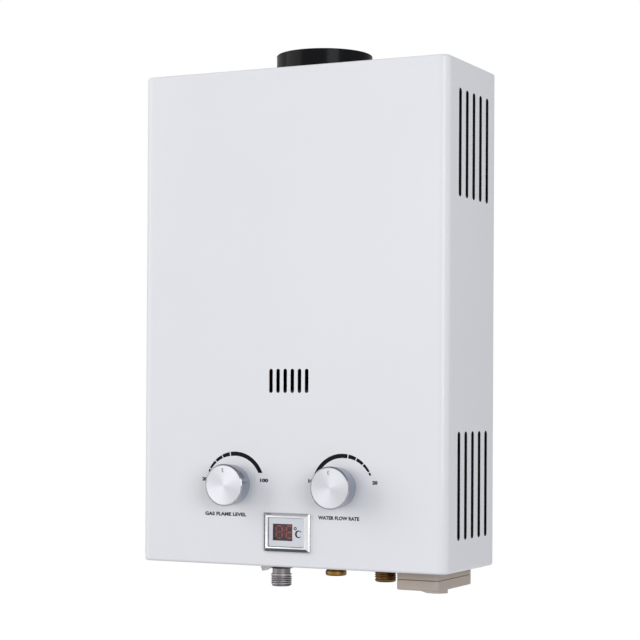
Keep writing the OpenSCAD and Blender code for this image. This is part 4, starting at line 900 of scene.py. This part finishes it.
def arc_strip(name, centre, radius, start, end, width_at, front, skew=0):
    """A strip of an arc between two angles in degrees; skew turns the inner corner of its start."""
    count = max(3, round(abs(end - start) / 4))
    angles = [start + (end - start) * i / count for i in range(count + 1)]

    def spot(angle, r):
        turn = math.radians(angle)
        return centre[0] + r * math.cos(turn), centre[1] + r * math.sin(turn)

    outer = [spot(a, radius) for a in angles]
    inner = [spot(a + skew * (1 - i / count), radius - width_at(a)) for i, a in enumerate(angles)]
    return flat_plate(name, outer + inner[::-1], front - INK_T, INK_T)


print("ink is", INK_T, "mm thick")

# %% Ink arcs
ARC_X, ARC_Z, ARC_R = 57.6, -162.5, 32.2
ARC_BREAKS = ((22, 99.4), (101.2, 116.3), (118.1, 132.4), (134.2, 150.1), (151.9, 157))
ARC_SKEW = 3.4
ARC_WIDE, ARC_TAPER, TAPER_FROM, TAPER_OVER = 4.1, 2.3, 95, 62


def ink_width(angle):
    """Width of the flame arc at an angle: wide at its high end, thin at its low end."""
    return ARC_WIDE - ARC_TAPER * max(0, (angle - TAPER_FROM) / TAPER_OVER)


marks = []
for i, (start, end) in enumerate(ARC_BREAKS):
    skew = 0 if i else ARC_SKEW
    marks.append(arc_strip("flame_arc", (-ARC_X, ARC_Z), ARC_R, start, end, ink_width, FRONT_Y, skew))
    marks.append(arc_strip("water_arc", (ARC_X, ARC_Z), ARC_R, 180 - start, 180 - end,
                           lambda angle: ink_width(180 - angle), FRONT_Y, -skew))
print("arc strips", len(marks))

# %% Ink words and numbers
INK_HEIGHT = 3.6


def ink_text(text, x, z, width, weight):
    """Lettering in the panel's plane, made a mesh before it is placed."""
    deselect()
    bpy.ops.object.text_add()
    letters = bpy.context.object
    letters.data.body = text
    letters.data.align_x = "CENTER"
    letters.data.align_y = "CENTER"
    letters.data.extrude = 0.5
    letters.data.offset = weight
    letters.data.resolution_u = 4
    bpy.ops.object.convert(target="MESH")
    letters = bpy.context.object
    size = letters.dimensions.copy()
    letters.scale = (width / size.x * MM, INK_HEIGHT / size.y * MM, INK_T * MM)
    return settle(letters, "ink_text", (x, FRONT_Y - INK_T / 2, z), TO_FRONT)


for text, x, z, width, weight in (
        ("20", -91.2, -157.7, 5.4, 0.06), ("100", -26.4, -157.7, 8.8, 0.06),
        ("100", 25.4, -157.1, 8.8, 0.06), ("20", 91.0, -157.1, 5.4, 0.06),
        ("GAS FLAME LEVEL", -67.9, -191.2, 45.5, 0.045), ("WATER FLOW RATE", 53.7, -191.5, 43, 0.045)):
    marks.append(ink_text(text, x, z, width, weight))
panel_ink = grained("panel_ink", srgb(15, 14, 17), 0.5, (80, 0.12), (1400, 0.1, 0.004),
                    Specular_IOR_Level=0.1)
place_on(gather("panel_ink", marks), panel_ink, "casing", "black_plastic")

# %% [markdown]
# ## The temperature display
# A chromed frame with sloping sides holds a silver plate with a small dark window, and two unlit digits
# stand a few millimetres behind it. The frame starts as a thin block whose front is drawn out and made
# smaller, which gives the slopes; the seat and the opening are then cut. The lower and the left slope get
# darker copies of the chrome, a painted reflection of the dim parts of a room that such a frame mirrors.

# %% Display frame
FRAME_W, FRAME_H, FRAME_RISE, FRAME_SLOPE, FRAME_STEP = 49.0, 37.0, 4.5, 3.0, 2.4
PLATE_W, PLATE_H, PLATE_T, PLATE_Y = 38.5, 28.0, 1.6, FRONT_Y - 3.3
BOSS, SEAT_LEDGE, SEAT_R = (42.5, 32), 1, 1
frame_back = box_mm("display_bezel")[1].y

display_frame = panel_box("display_frame", (FRAME_W, FRAME_H), FRONT_Y - FRAME_STEP, FRONT_Y)
pick(display_frame, "FACE", lambda middle, normal: normal.y < -SQUARE_ON)
bpy.ops.mesh.extrude_region_move(TRANSFORM_OT_translate={"value": (0, (FRAME_STEP - FRAME_RISE) * MM, 0)})
bpy.ops.transform.resize(
    value=(1 - 2 * FRAME_SLOPE / FRAME_W, 1, 1 - 2 * FRAME_SLOPE / FRAME_H),
    center_override=Vector((0, FRONT_Y - FRAME_RISE, DISPLAY_Z)) * MM)
bpy.ops.object.mode_set(mode="OBJECT")
combine(display_frame, panel_box("boss", BOSS, FRONT_Y - 0.5, frame_back), "UNION")
seat = panel_box("seat", (PLATE_W, PLATE_H), FRONT_Y - CUT_PAST, PLATE_Y + PLATE_T)
round_edges(seat, runs_along("Y"), SEAT_R, 4)
combine(display_frame, seat)
through = (PLATE_W - 2 * SEAT_LEDGE, PLATE_H - 2 * SEAT_LEDGE)
combine(display_frame, panel_box("through", through, FRONT_Y - CUT_PAST, frame_back + PUNCH_OUT))
soften(display_frame, 0.35, 3)
count_faces(display_frame)

# %% Display frame finishes
bezel_chrome = grained("bezel_chrome", srgb(218, 219, 222), 0.16, (40, 0.03), (900, 0.05, 0.004),
                       Metallic=1.0)
# painted reflection: darker copies of the chrome on the lower and the left slope
low_slope_painted_reflection = grained("low_slope_painted_reflection", srgb(80, 81, 84), 0.1, (40, 0.05), (900, 0.04, 0.003), Metallic=1.0)
left_slope_painted_reflection = grained("left_slope_painted_reflection", srgb(104, 105, 108), 0.14, (40, 0.05), (900, 0.04, 0.003), Metallic=1.0)
slope_low, slope_left = DISPLAY_Z - PLATE_H / 2 - 1, -PLATE_W / 2 - 1
place_on(display_frame, bezel_chrome, "casing", "bezel_chrome", "display_bezel")
paint_faces(display_frame, low_slope_painted_reflection, lambda middle, normal: middle.y < FRONT_Y and normal.z < -0.4 and
            middle.z < slope_low)
paint_faces(display_frame, left_slope_painted_reflection, lambda middle, normal: middle.y < FRONT_Y and normal.x < -0.4 and
            middle.x < slope_left)

# %% Display plate and window
WINDOW_W, WINDOW_H, WINDOW_X = 21.0, 16.0, -4.0
PLATE_GAP, LENS_GAP, LENS_BACK, LENS_T = 0.32, 0.1, 0.4, 1.0
plate = panel_box("display_plate", (PLATE_W - 2 * PLATE_GAP, PLATE_H - 2 * PLATE_GAP), PLATE_Y,
                  PLATE_Y + PLATE_T)
round_edges(plate, runs_along("Y"), SEAT_R, 4)
combine(plate, panel_box("window", (WINDOW_W, WINDOW_H), PLATE_Y - 2, PLATE_Y + 4, WINDOW_X))
soften(plate, 0.15)
insert_silver = grained("insert_silver", srgb(203, 206, 211), 0.5, (60, 0.02), (2600, 0.12, 0.008),
                        Metallic=0.35)
place_on(plate, insert_silver, "casing", "insert_silver", "display_panel")

lens = panel_box("display_window", (WINDOW_W - 2 * LENS_GAP, WINDOW_H - 2 * LENS_GAP), PLATE_Y + LENS_BACK,
                 PLATE_Y + LENS_BACK + LENS_T, WINDOW_X)
soften(lens, 0.12)
window_dark = grained("window_dark", srgb(226, 196, 198), 0.05, (40, 0.04), (900, 0.02, 0.001),
                      Transmission_Weight=1.0, IOR=1.45)
place_on(lens, window_dark, "casing", "window_dark", "display_lens")

# %% [markdown]
# Behind the window is the digit block on its green board. The bars of the digits are thin strips on the
# block's face, all seven of each digit, because a display that is off still shows them dimly.

# %% Digit block
BOARD_T, BLOCK_SIZE = 1.6, (23, 18)
BLOCK_Y = PLATE_Y + 5.2
board_low, board_high = box_mm("display_board")
board_front = board_high.y - BOARD_T
board = block("display_board_plate", (board_low.x, board_front, board_low.z), board_high)
soften(board, 0.2)
board_green = grained("board_green", srgb(40, 92, 58), 0.38, (120, 0.12), (700, 0.1, 0.02), Coat_Weight=0.4)
place_on(board, board_green, "casing", "board_green", "display_board")

digit_block = panel_box("digit_block", BLOCK_SIZE, BLOCK_Y, board_front, WINDOW_X)
soften(digit_block, 0.3)
block_face = grained("digit_block_face", srgb(92, 62, 66), 0.5, (90, 0.1), (1500, 0.08, 0.006))
place_on(digit_block, block_face, "casing", "window_dark")

# %% Digit bars
DIGIT_W, DIGIT_H, BAR_W, BAR_T = 6.4, 11.4, 1.15, 0.05
DIGIT_MIDDLES = (WINDOW_X - 6.0, WINDOW_X + 5.0)
BAR_GAP = BAR_W * 0.55


def digit_bar(start, end):
    """A thin bar with pointed ends between two points."""
    start, end = Vector(start), Vector(end)
    along = (end - start).normalized() * BAR_W / 2
    side = Vector((abs(along.y), abs(along.x)))
    return flat_plate("bar", [
        start, start + along + side, end - along + side, end, end - along - side, start + along - side],
        BLOCK_Y - BAR_T, BAR_T)


bars = []
for middle in DIGIT_MIDDLES:
    reach = DIGIT_W / 2 - BAR_GAP
    for z in (DISPLAY_Z - DIGIT_H / 2, DISPLAY_Z, DISPLAY_Z + DIGIT_H / 2):
        bars.append(digit_bar((middle - reach, z), (middle + reach, z)))
    for x in (middle - DIGIT_W / 2, middle + DIGIT_W / 2):
        for level in (-1, 1):
            bars.append(digit_bar((x, DISPLAY_Z + level * BAR_GAP),
                                  (x, DISPLAY_Z + level * (DIGIT_H / 2 - BAR_GAP))))
bar_red = grained("digit_bar_red", srgb(226, 128, 140), 0.5, (400, 0.08), (1500, 0.06, 0.004))
place_on(gather("digit_bars", bars), bar_red, "casing", "window_dark")

# %% Degree sign
SIGN_X, SIGN_Z = 13.0, -207.6
LETTER_R, LETTER_FROM, LETTER_TO = 3.6, 42, 318
RING_R, RING_W, RING_AT = 1.55, 0.8, (SIGN_X - 3.4, SIGN_Z + 5.2)


def letter_width(angle):
    """Stroke of the degree letter: thick at its left, thin at its two ends."""
    way_round = (angle - LETTER_FROM) / (LETTER_TO - LETTER_FROM)
    return 0.5 + 1.3 * max(0.0, math.sin(math.pi * way_round)) ** 1.5


sign_marks = [arc_strip("degree_letter", (SIGN_X, SIGN_Z), LETTER_R, LETTER_FROM, LETTER_TO, letter_width,
                        PLATE_Y)]
for start in (0, 180):
    sign_marks.append(arc_strip("degree_ring", RING_AT, RING_R, start, start + 180, lambda angle: RING_W,
                                PLATE_Y))
tip = [(SIGN_X + x, SIGN_Z + z) for x, z in ((2.3, 2.6), (2.9, 3.6), (2.9, 1.2), (2.6, 1.2))]
sign_marks.append(flat_plate("degree_tip", tip, PLATE_Y - INK_T, INK_T))
place_on(gather("degree_sign", sign_marks), panel_ink, "casing", "black_plastic")

# %% [markdown]
# ## Pipe ends
# Gas comes in through a grey nipple with a rubber seal, cold water through a brass end, and hot water out
# through a darker one. Rings would do for the threads from afar, but a real thread climbs, so a ridge is
# swept up a helix with the Screw modifier and joined to the turned core. The finish darkens the grooves as
# dirt and painted shade, the neck under the casing as painted shadow, and the mouths of the brass ends.

# %% Thread tool
THREAD_R, THREAD_PITCH, THREAD_DEPTH = 10.4775, 1.9, 1.162
RIDGE_FOOT, RIDGE_TOP, RIDGE_SUNK = 0.86, 0.2, 0.5
PIPE_BORE_R, FIT_Y = 6.5, -55.0


def thread_ridge(x, low, turns, depth=THREAD_DEPTH):
    """A helical ridge about an upright axis, from a height up, closed at both ends."""
    root = THREAD_R - depth
    half = THREAD_PITCH / 2
    upper = [(THREAD_R, half * RIDGE_TOP), (root, half * RIDGE_FOOT), (root - RIDGE_SUNK, half * 0.9)]
    lower = [(r, -h) for r, h in upper[::-1]]
    draw_loop([(r, 0, h) for r, h in lower + upper])
    ridge = bpy.context.object
    apply_tool(ridge, "sweep", "SCREW", axis="Z", screw_offset=THREAD_PITCH * MM, iterations=turns,
               steps=48, render_steps=48)
    bpy.ops.object.mode_set(mode="EDIT")
    bpy.ops.mesh.select_all(action="SELECT")
    bpy.ops.mesh.fill_holes(sides=0)
    face_outwards()
    return settle(ridge, "ridge", (x, FIT_Y, low))


print("thread tool ready")

# %% Gas nipple and seal
GAS_X, COLD_X, HOT_X = -40.9, 19.4, 72.6
ROOT_R = THREAD_R - THREAD_DEPTH
NECK_R, SHOULDER_R, SHOULDER_H = 8.95, 12.98, 6
CREST_R = THREAD_R - 0.1
gas_low, gas_high = box_mm("gas_inlet")
mouth, roof = gas_low.z, gas_high.z
GAS_CHAMFER = 0.8
RING_LEVELS = (-254.2, -254.0, -253.2, -252.8)
gas_nipple = turned("gas_nipple", [
    (PIPE_BORE_R, mouth + GAS_CHAMFER), (PIPE_BORE_R + GAS_CHAMFER, mouth), (ROOT_R - 0.5, mouth),
    (ROOT_R, mouth + 0.6), *zip((ROOT_R, CREST_R, CREST_R, NECK_R), RING_LEVELS),
    (NECK_R, roof - SHOULDER_H), (SHOULDER_R, roof - SHOULDER_H), (SHOULDER_R, roof),
    (PIPE_BORE_R, roof)], (GAS_X, FIT_Y, 0))
combine(gas_nipple, thread_ridge(GAS_X, mouth + 1.3, 5), "UNION")
soften(gas_nipple, 0.12)
# grooves darkened as dirt and painted shade; the neck above -253.4 mm as painted shadow
gas_zinc = spun("gas_zinc", srgb(200, 193, 197), (GAS_X, FIT_Y, 0), (0, 0, 0), 0.5, 0.42, 0.01,
                (9.4, 10.4, -253.4, 0.22))
place_on(gas_nipple, gas_zinc, "casing", "gas_zinc", "gas_inlet")

SEAL_R, SEAL_GAP = 12, 0.1
seal_low, seal_high = box_mm("gas_inlet_seal")
lip_z = seal_low.z
seal = turned("gas_seal_ring", [
    (NECK_R + SEAL_GAP, lip_z + 0.4), (NECK_R + 0.5, lip_z), (SEAL_R - 0.9, lip_z),
    (SEAL_R - 0.3, lip_z + 0.3), (SEAL_R, lip_z + 0.9), (SEAL_R, lip_z + 2.6), (SEAL_R - 0.4, lip_z + 3),
    (SEAL_R, lip_z + 3.4), (SEAL_R, seal_high.z), (NECK_R + SEAL_GAP, seal_high.z)], (GAS_X, FIT_Y, 0))
soften(seal, 0.15)
dark_rubber = grained("dark_rubber", srgb(44, 38, 38), 0.62, (70, 0.15), (1300, 0.12, 0.03))
place_on(seal, dark_rubber, "casing", "dark_rubber", "gas_inlet_seal")

# %% Cold and hot pipe ends
SHOULDER_LOW, SHOULDER_TOP = -238, -235
MOUTH_EASE, RIDGE_LIFT, SLEEVE_R = 0.7, 0.9, THREAD_R - 0.5


def pipe_end(name, node, x, nose_r, threads, depth=THREAD_DEPTH):
    """A brass pipe end with a rounded nose, a thread (from a height, turns) and a shoulder."""
    low, high = box_mm(node)
    nose = arc_points((CREST_R - nose_r, low.z + nose_r), (nose_r, nose_r), range(-90, 1, 18))
    start = low.z + threads[0]
    root = THREAD_R - depth
    piece = turned(name, [
        (PIPE_BORE_R, low.z + MOUTH_EASE), (PIPE_BORE_R + MOUTH_EASE, low.z), *nose,
        (CREST_R, start - MOUTH_EASE), (root, start), (root, SHOULDER_LOW), (SHOULDER_R, SHOULDER_LOW),
        (SHOULDER_R, SHOULDER_TOP), (SLEEVE_R, SHOULDER_TOP), (SLEEVE_R, high.z),
        (PIPE_BORE_R, high.z)], (x, FIT_Y, 0))
    combine(piece, thread_ridge(x, start + RIDGE_LIFT, threads[1], depth), "UNION")
    soften(piece, 0.12)
    return piece


def darken_mouth(piece, colour, reach):
    """Darken the mouth of a pipe end, up to a reach in mm above its lowest point."""
    ceiling = min(vertex.co.z for vertex in piece.data.vertices) / MM + reach
    mouth_dark = grained(piece.name + "_mouth", colour, 0.42, (60, 0.2), (900, 0.1, 0.02), Metallic=1.0)
    paint_faces(piece, mouth_dark, lambda middle, normal: middle.z < ceiling)


cold_end = pipe_end("cold_pipe_end", "cold_inlet", COLD_X, 1.8, (5.2, 3))
brass_light = spun("brass_light", srgb(130, 99, 52), (COLD_X, FIT_Y, 0), (0, 0, 0), 0.6, 0.3, 0.008,
                   (9.4, 10.3, -230, 0.4))
place_on(cold_end, brass_light, "casing", "brass_light", "cold_inlet")
darken_mouth(cold_end, srgb(74, 56, 32), 1.1)
hot_end = pipe_end("hot_pipe_end", "hot_outlet", HOT_X, 2.2, (2.8, 6), 0.8)
brass_dark = spun("brass_dark", srgb(127, 94, 59), (HOT_X, FIT_Y, 0), (0, 0, 0), 0.6, 0.32, 0.012,
                  (9.7, 10.4, -230, 0.5))
place_on(hot_end, brass_dark, "casing", "brass_dark", "hot_outlet")
darken_mouth(hot_end, srgb(60, 46, 34), 1.7)

# %% [markdown]
# ## Season switch
# A white rocker sits in a lipped housing under the floor. It could stay as its solid, but its dished top
# and soft edges catch the light, so it is shaped again: a block is cut across by bisects, its middle is
# lifted into a dish, and the edges are rounded after it is tipped to its rest.

# %% Rocker
ROCKER_AT = (-41, -80, -239)
ROCKER_L, ROCKER_W, ROCKER_LOW, ROCKER_TOP = 17.0, 11.0, -7, 3
ROCKER_TILT, ROCKER_SWEEP = math.radians(20.0), 10.7
PIN_R, PIN_L = 1.5, 13.6
DISH_CUTS = (-5, -2, 2, 5)
DISH_LIFTS = ((0.65, 5.1), (0.45, 2.1))
rocker = block("switch_rocker_cap", (-ROCKER_L / 2, -ROCKER_W / 2, ROCKER_LOW),
               (ROCKER_L / 2, ROCKER_W / 2, ROCKER_TOP))
pick(rocker, "FACE", lambda middle, normal: True)
for x in DISH_CUTS:
    bpy.ops.mesh.select_all(action="SELECT")
    bpy.ops.mesh.bisect(plane_co=(x * MM, 0, 0), plane_no=(1, 0, 0))
bpy.ops.object.mode_set(mode="OBJECT")
for lift, reach in DISH_LIFTS:
    pick(rocker, "EDGE", lambda a, b: same(a.x, b.x) and abs(a.x) < reach and same(a.z, b.z) and
         a.z < ROCKER_LOW + 1)
    bpy.ops.transform.translate(value=(0, 0, lift * MM))
    bpy.ops.object.mode_set(mode="OBJECT")
combine(rocker, rod("end_sweep", (0, 0, 0), ROCKER_SWEEP, 20, ALONG_Y, 120), "INTERSECT")
combine(rocker, rod("pin", (0, 0, 0), PIN_R, PIN_L, ALONG_Y, 32), "UNION")
rocker = settle(rocker, "switch_rocker_cap", ROCKER_AT, (0, -ROCKER_TILT, 0))
soften(rocker, 0.5, 3)
white_plastic = grained("white_plastic", srgb(232, 226, 224), 0.4, (50, 0.02), (1500, 0.08, 0.015),
                        Subsurface_Weight=0.05, Subsurface_Scale=0.002)
place_on(rocker, white_plastic, "rocker", "white_plastic", "switch_rocker")

# %% Rocker housing
FLANGE_X, FLANGE_Y, FLANGE_DROP, FLANGE_ROUND = 13.5, 8.5, 2, 1.5
BODY_X, BODY_Y, BODY_TOP = 11.5, 7, 20
WAY_R, WAY_W, PIN_HOLE_R, PIN_HOLE_L = ROCKER_SWEEP + 0.3, 11.6, 1.55, 13.8
switch_frame = block("switch_frame", (-FLANGE_X, -FLANGE_Y, -FLANGE_DROP), (FLANGE_X, FLANGE_Y, 0))
round_edges(switch_frame, runs_along("Z"), FLANGE_ROUND, 5)
combine(switch_frame, block("body", (-BODY_X, -BODY_Y, -0.5), (BODY_X, BODY_Y, BODY_TOP)), "UNION")
combine(switch_frame, rod("way", (0, 0, 0), WAY_R, WAY_W, ALONG_Y, 72))
combine(switch_frame, rod("pin_way", (0, 0, 0), PIN_HOLE_R, PIN_HOLE_L, ALONG_Y, 32))
switch_frame = settle(switch_frame, "switch_frame", ROCKER_AT)
soften(switch_frame, 0.3)
place_on(switch_frame, white_plastic, "casing", "white_plastic", "switch_housing")

# %% [markdown]
# ## Battery box
# A beige moulded box hangs below the right-hand end, with a lid that swings down about a pin at the rear.
# Both start as blocks with rounded corners, are hollowed, and get their hinge ears and barrel joined on.
# The thumb pad swells out of the lid in a slow curve and grows towards its rear step, so its outline is
# drawn, given a depth, and its rear face is drawn out taller.

# %% Battery case
BOX_LOW, BOX_HIGH = Vector((103.9, -103, -247.7)), Vector((147.9, -17, -214))
BOX_R, BOX_T, SEAM_Z, LID_TOP, LID_LOW = 5.5, 2.0, -247.7, -248.1, -257.6
LIP_LOW, LIP_TOP, LIP_OUT = -237.8, -235.8, 4
PIVOT_Y, PIVOT_Z, BARREL_R, BARREL_L = -19.6, -250.6, 2.4, 38
EAR_OUT, EAR_HALF, EAR_R = 12, 2, 2.2
CASE_PIN_R, LID_PIN_R, PIN_WAY_L = 1.225, 1.25, 60
BOX_X = (BOX_LOW.x + BOX_HIGH.x) / 2
SEAM_ROUND = 0.45
pivot = (BOX_X, PIVOT_Y, PIVOT_Z)


def upright_box(name, low_z, high_z, inset):
    """A block of the battery box's plan, drawn in or out, with its upright corners rounded."""
    piece = block(name, (BOX_LOW.x + inset, BOX_LOW.y + inset, low_z),
                  (BOX_HIGH.x - inset, BOX_HIGH.y - inset, high_z))
    round_edges(piece, runs_along("Z"), BOX_R - inset, 6)
    return piece


case = upright_box("battery_case", SEAM_Z, BOX_HIGH.z, 0)
round_edges(case, lies_at(SEAM_Z), SEAM_ROUND, 2)
combine(case, upright_box("case_lip", LIP_LOW, LIP_TOP, -LIP_OUT), "UNION")
combine(case, upright_box("hollow", SEAM_Z - PUNCH_OUT, BOX_HIGH.z - BOX_T, BOX_T))
for x in (BOX_X - EAR_OUT, BOX_X + EAR_OUT):
    ear = block("ear", (x - EAR_HALF, PIVOT_Y - EAR_R, PIVOT_Z),
                (x + EAR_HALF, PIVOT_Y + EAR_R, SEAM_Z + BOX_T))
    combine(ear, rod("ear_round", (x, PIVOT_Y, PIVOT_Z), EAR_R, 2 * EAR_HALF, ALONG_X, 40), "UNION")
    combine(case, ear, "UNION")
combine(case, rod("pin_way", pivot, CASE_PIN_R, PIN_WAY_L, ALONG_X, 32))
soften(case, 0.3)
beige_plastic = grained("beige_plastic", srgb(183, 170, 158), 0.5, (25, 0.02), (1100, 0.08, 0.03))
place_on(case, beige_plastic, "casing", "beige_plastic", "battery_box")

# %% Thumb pad of the lid
PAD_DROP, PAD_STEP, PAD_L, PAD_RAMP, PAD_ROOT = 1.7, 3.4, 24.0, 8.8, 1.5
PAD_X = BOX_X + 3
RAMP_POINTS = 8
pad_root, pad_end = LID_LOW + PAD_ROOT, BOX_HIGH.x + 1
ramp = [t / RAMP_POINTS for t in range(RAMP_POINTS + 1)]
swell = [(PAD_X + PAD_RAMP * t, LID_LOW - PAD_DROP * (1 - math.cos(math.pi * t)) / 2) for t in ramp]
pad = flat_plate("pad", [(PAD_X, pad_root), *swell, (pad_end, LID_LOW - PAD_DROP), (pad_end, pad_root)],
                 BOX_LOW.y - 1, PAD_L + 1)
pick(pad, "FACE", lambda middle, normal: normal.y > SQUARE_ON)
bpy.ops.transform.resize(value=(1, 1, (PAD_STEP + PAD_ROOT) / (PAD_DROP + PAD_ROOT)),
                         center_override=Vector((BOX_X, 0, pad_root)) * MM)
bpy.ops.object.mode_set(mode="OBJECT")
combine(pad, upright_box("pad_plan", LID_LOW - CUT_PAST, LID_LOW + CUT_PAST, 0.5), "INTERSECT")
count_faces(pad)

# %% Battery lid
LID_ROUND = 1.2
EAR_GAP, BARREL_GAP = EAR_HALF + 0.3, BARREL_R + 0.3
rear = BOX_HIGH.y + PUNCH_OUT
lid = upright_box("battery_cover", LID_LOW, LID_TOP, 0)
round_edges(lid, lies_at(LID_LOW), LID_ROUND, 4)
round_edges(lid, lies_at(LID_TOP), SEAM_ROUND, 2)
combine(lid, pad, "UNION")
combine(lid, upright_box("hollow", LID_LOW + BOX_T, LID_TOP + PUNCH_OUT, BOX_T))
combine(lid, block("rear_gap", (BOX_LOW.x - PUNCH_IN, PIVOT_Y, PIVOT_Z),
                   (BOX_HIGH.x + PUNCH_IN, rear, SEAM_Z + BOX_T)))
combine(lid, rod("barrel", pivot, BARREL_R, BARREL_L, ALONG_X), "UNION")
combine(lid, rod("pin_way", pivot, LID_PIN_R, PIN_WAY_L, ALONG_X, 32))
for x in (BOX_X - EAR_OUT, BOX_X + EAR_OUT):
    combine(lid, block("ear_gap", (x - EAR_GAP, PIVOT_Y - BARREL_GAP, PIVOT_Z - BARREL_GAP),
                       (x + EAR_GAP, rear, LID_TOP + PUNCH_OUT)))
soften(lid, 0.3)
place_on(lid, beige_plastic, "battery_lid", "beige_plastic", "battery_lid")

# %% [markdown]
# ## Finishes of the inner parts
# The chassis, the exchanger, the burner, the valves and the wiring keep the shapes of their solids, which
# are right as they are. Each family gets its own finish: zinc sheet with crystals, copper that has been
# near heat and is darkest round the burner, cast alloy, turned brass, and moulded plastics. The zinc that
# faces the fire is darkened, partly as soot and partly as painted shade of the inside seen through the vents.

# %% Zinc sheet
zinc_sheet, tree, shader, spot = start_finish("zinc_sheet", {"Metallic": 0.85})
tone = effect(tree, drift_group, Vector=spot, Colour=srgb(150, 153, 157), Scale=12, Amount=0.05)
flakes = effect(tree, spangle_group, Vector=spot, Colour=tone["Colour"], Scale=110, Amount=0.15)
grain = effect(tree, grain_group, Vector=spot, Scale=700, Roughness=0.4, Swing=0.1)
surface(tree, shader, flakes["Colour"], flakes["Roughness"], grain["Height"], 0.4, 0.02)
dress(zinc_sheet, "back_plate", "top_plate", "bottom_plate")
# soot and painted shade: dark zinc on the hood, the brackets and the front of the back plate
zinc_soot_and_painted_shade = grained("zinc_soot_and_painted_shade", srgb(50, 50, 53), 0.66, (14, 0.2), (700, 0.2, 0.03), Metallic=0.4)
dress(zinc_soot_and_painted_shade, "draft_hood", "chamber_brackets")
back_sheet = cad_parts["back_plate"].data
back_sheet.materials.append(zinc_soot_and_painted_shade)
for face in back_sheet.polygons:
    face.material_index = 1 if face.normal.y < -0.5 else 0

# %% Other inner finishes
dress(steel, "chassis_screws", "gas_spindle", "solenoid_plunger", "push_rod", "water_spindle", "switch_lever",
      "lid_pin", "battery_contacts", "contact_spring")
dress(dark_rubber, "diaphragm")
INNER_FINISHES = (
    ("copper", (196, 118, 84), 0.34, (22, 0.22), (500, 0.2, 0.03), {"Metallic": 1.0},
     ("heat_exchanger_fins", "exchanger_tubes", "cold_riser", "hot_pipe")),
    ("heated_copper", (84, 52, 42), 0.5, (14, 0.3), (500, 0.2, 0.03), {"Metallic": 0.9},
     ("combustion_chamber",)),
    ("burner_steel", (92, 88, 85), 0.42, (35, 0.16), (900, 0.2, 0.03), {"Metallic": 1.0},
     ("burner_bars", "burner_frame")),
    ("cast_alloy", (168, 170, 172), 0.5, (40, 0.08), (650, 0.2, 0.12), {"Metallic": 0.8},
     ("gas_manifold", "gas_valve_body", "gas_feed_pipe")),
    ("turned_brass", (190, 150, 78), 0.32, (40, 0.1), (800, 0.16, 0.03), {"Metallic": 1.0},
     ("gas_jets", "water_valve_body", "water_valve_cover", "pipe_nuts")),
    ("ceramic", (232, 228, 218), 0.3, (60, 0.04), (600, 0.08, 0.01), {"Coat_Weight": 0.5},
     ("ignition_electrode", "flame_sensor")),
    ("coil_red", (146, 44, 34), 0.4, (60, 0.1), (2200, 0.2, 0.05), {"stretch": (1, 0.1, 0.1)},
     ("solenoid_coil",)),
    ("black_plastic", (34, 34, 36), 0.46, (40, 0.1), (1300, 0.12, 0.03), {},
     ("micro_switch", "igniter_module", "overheat_thermostat", "water_sensor")),
    ("lead_sheath", (54, 54, 58), 0.48, (90, 0.08), (1600, 0.1, 0.02), {},
     ("igniter_leads", "battery_lead", "display_lead")),
)
for name, colour, roughness, drift, grain, extra, nodes in INNER_FINISHES:
    dress(grained(name, srgb(*colour), roughness, drift, grain, **extra), *nodes)
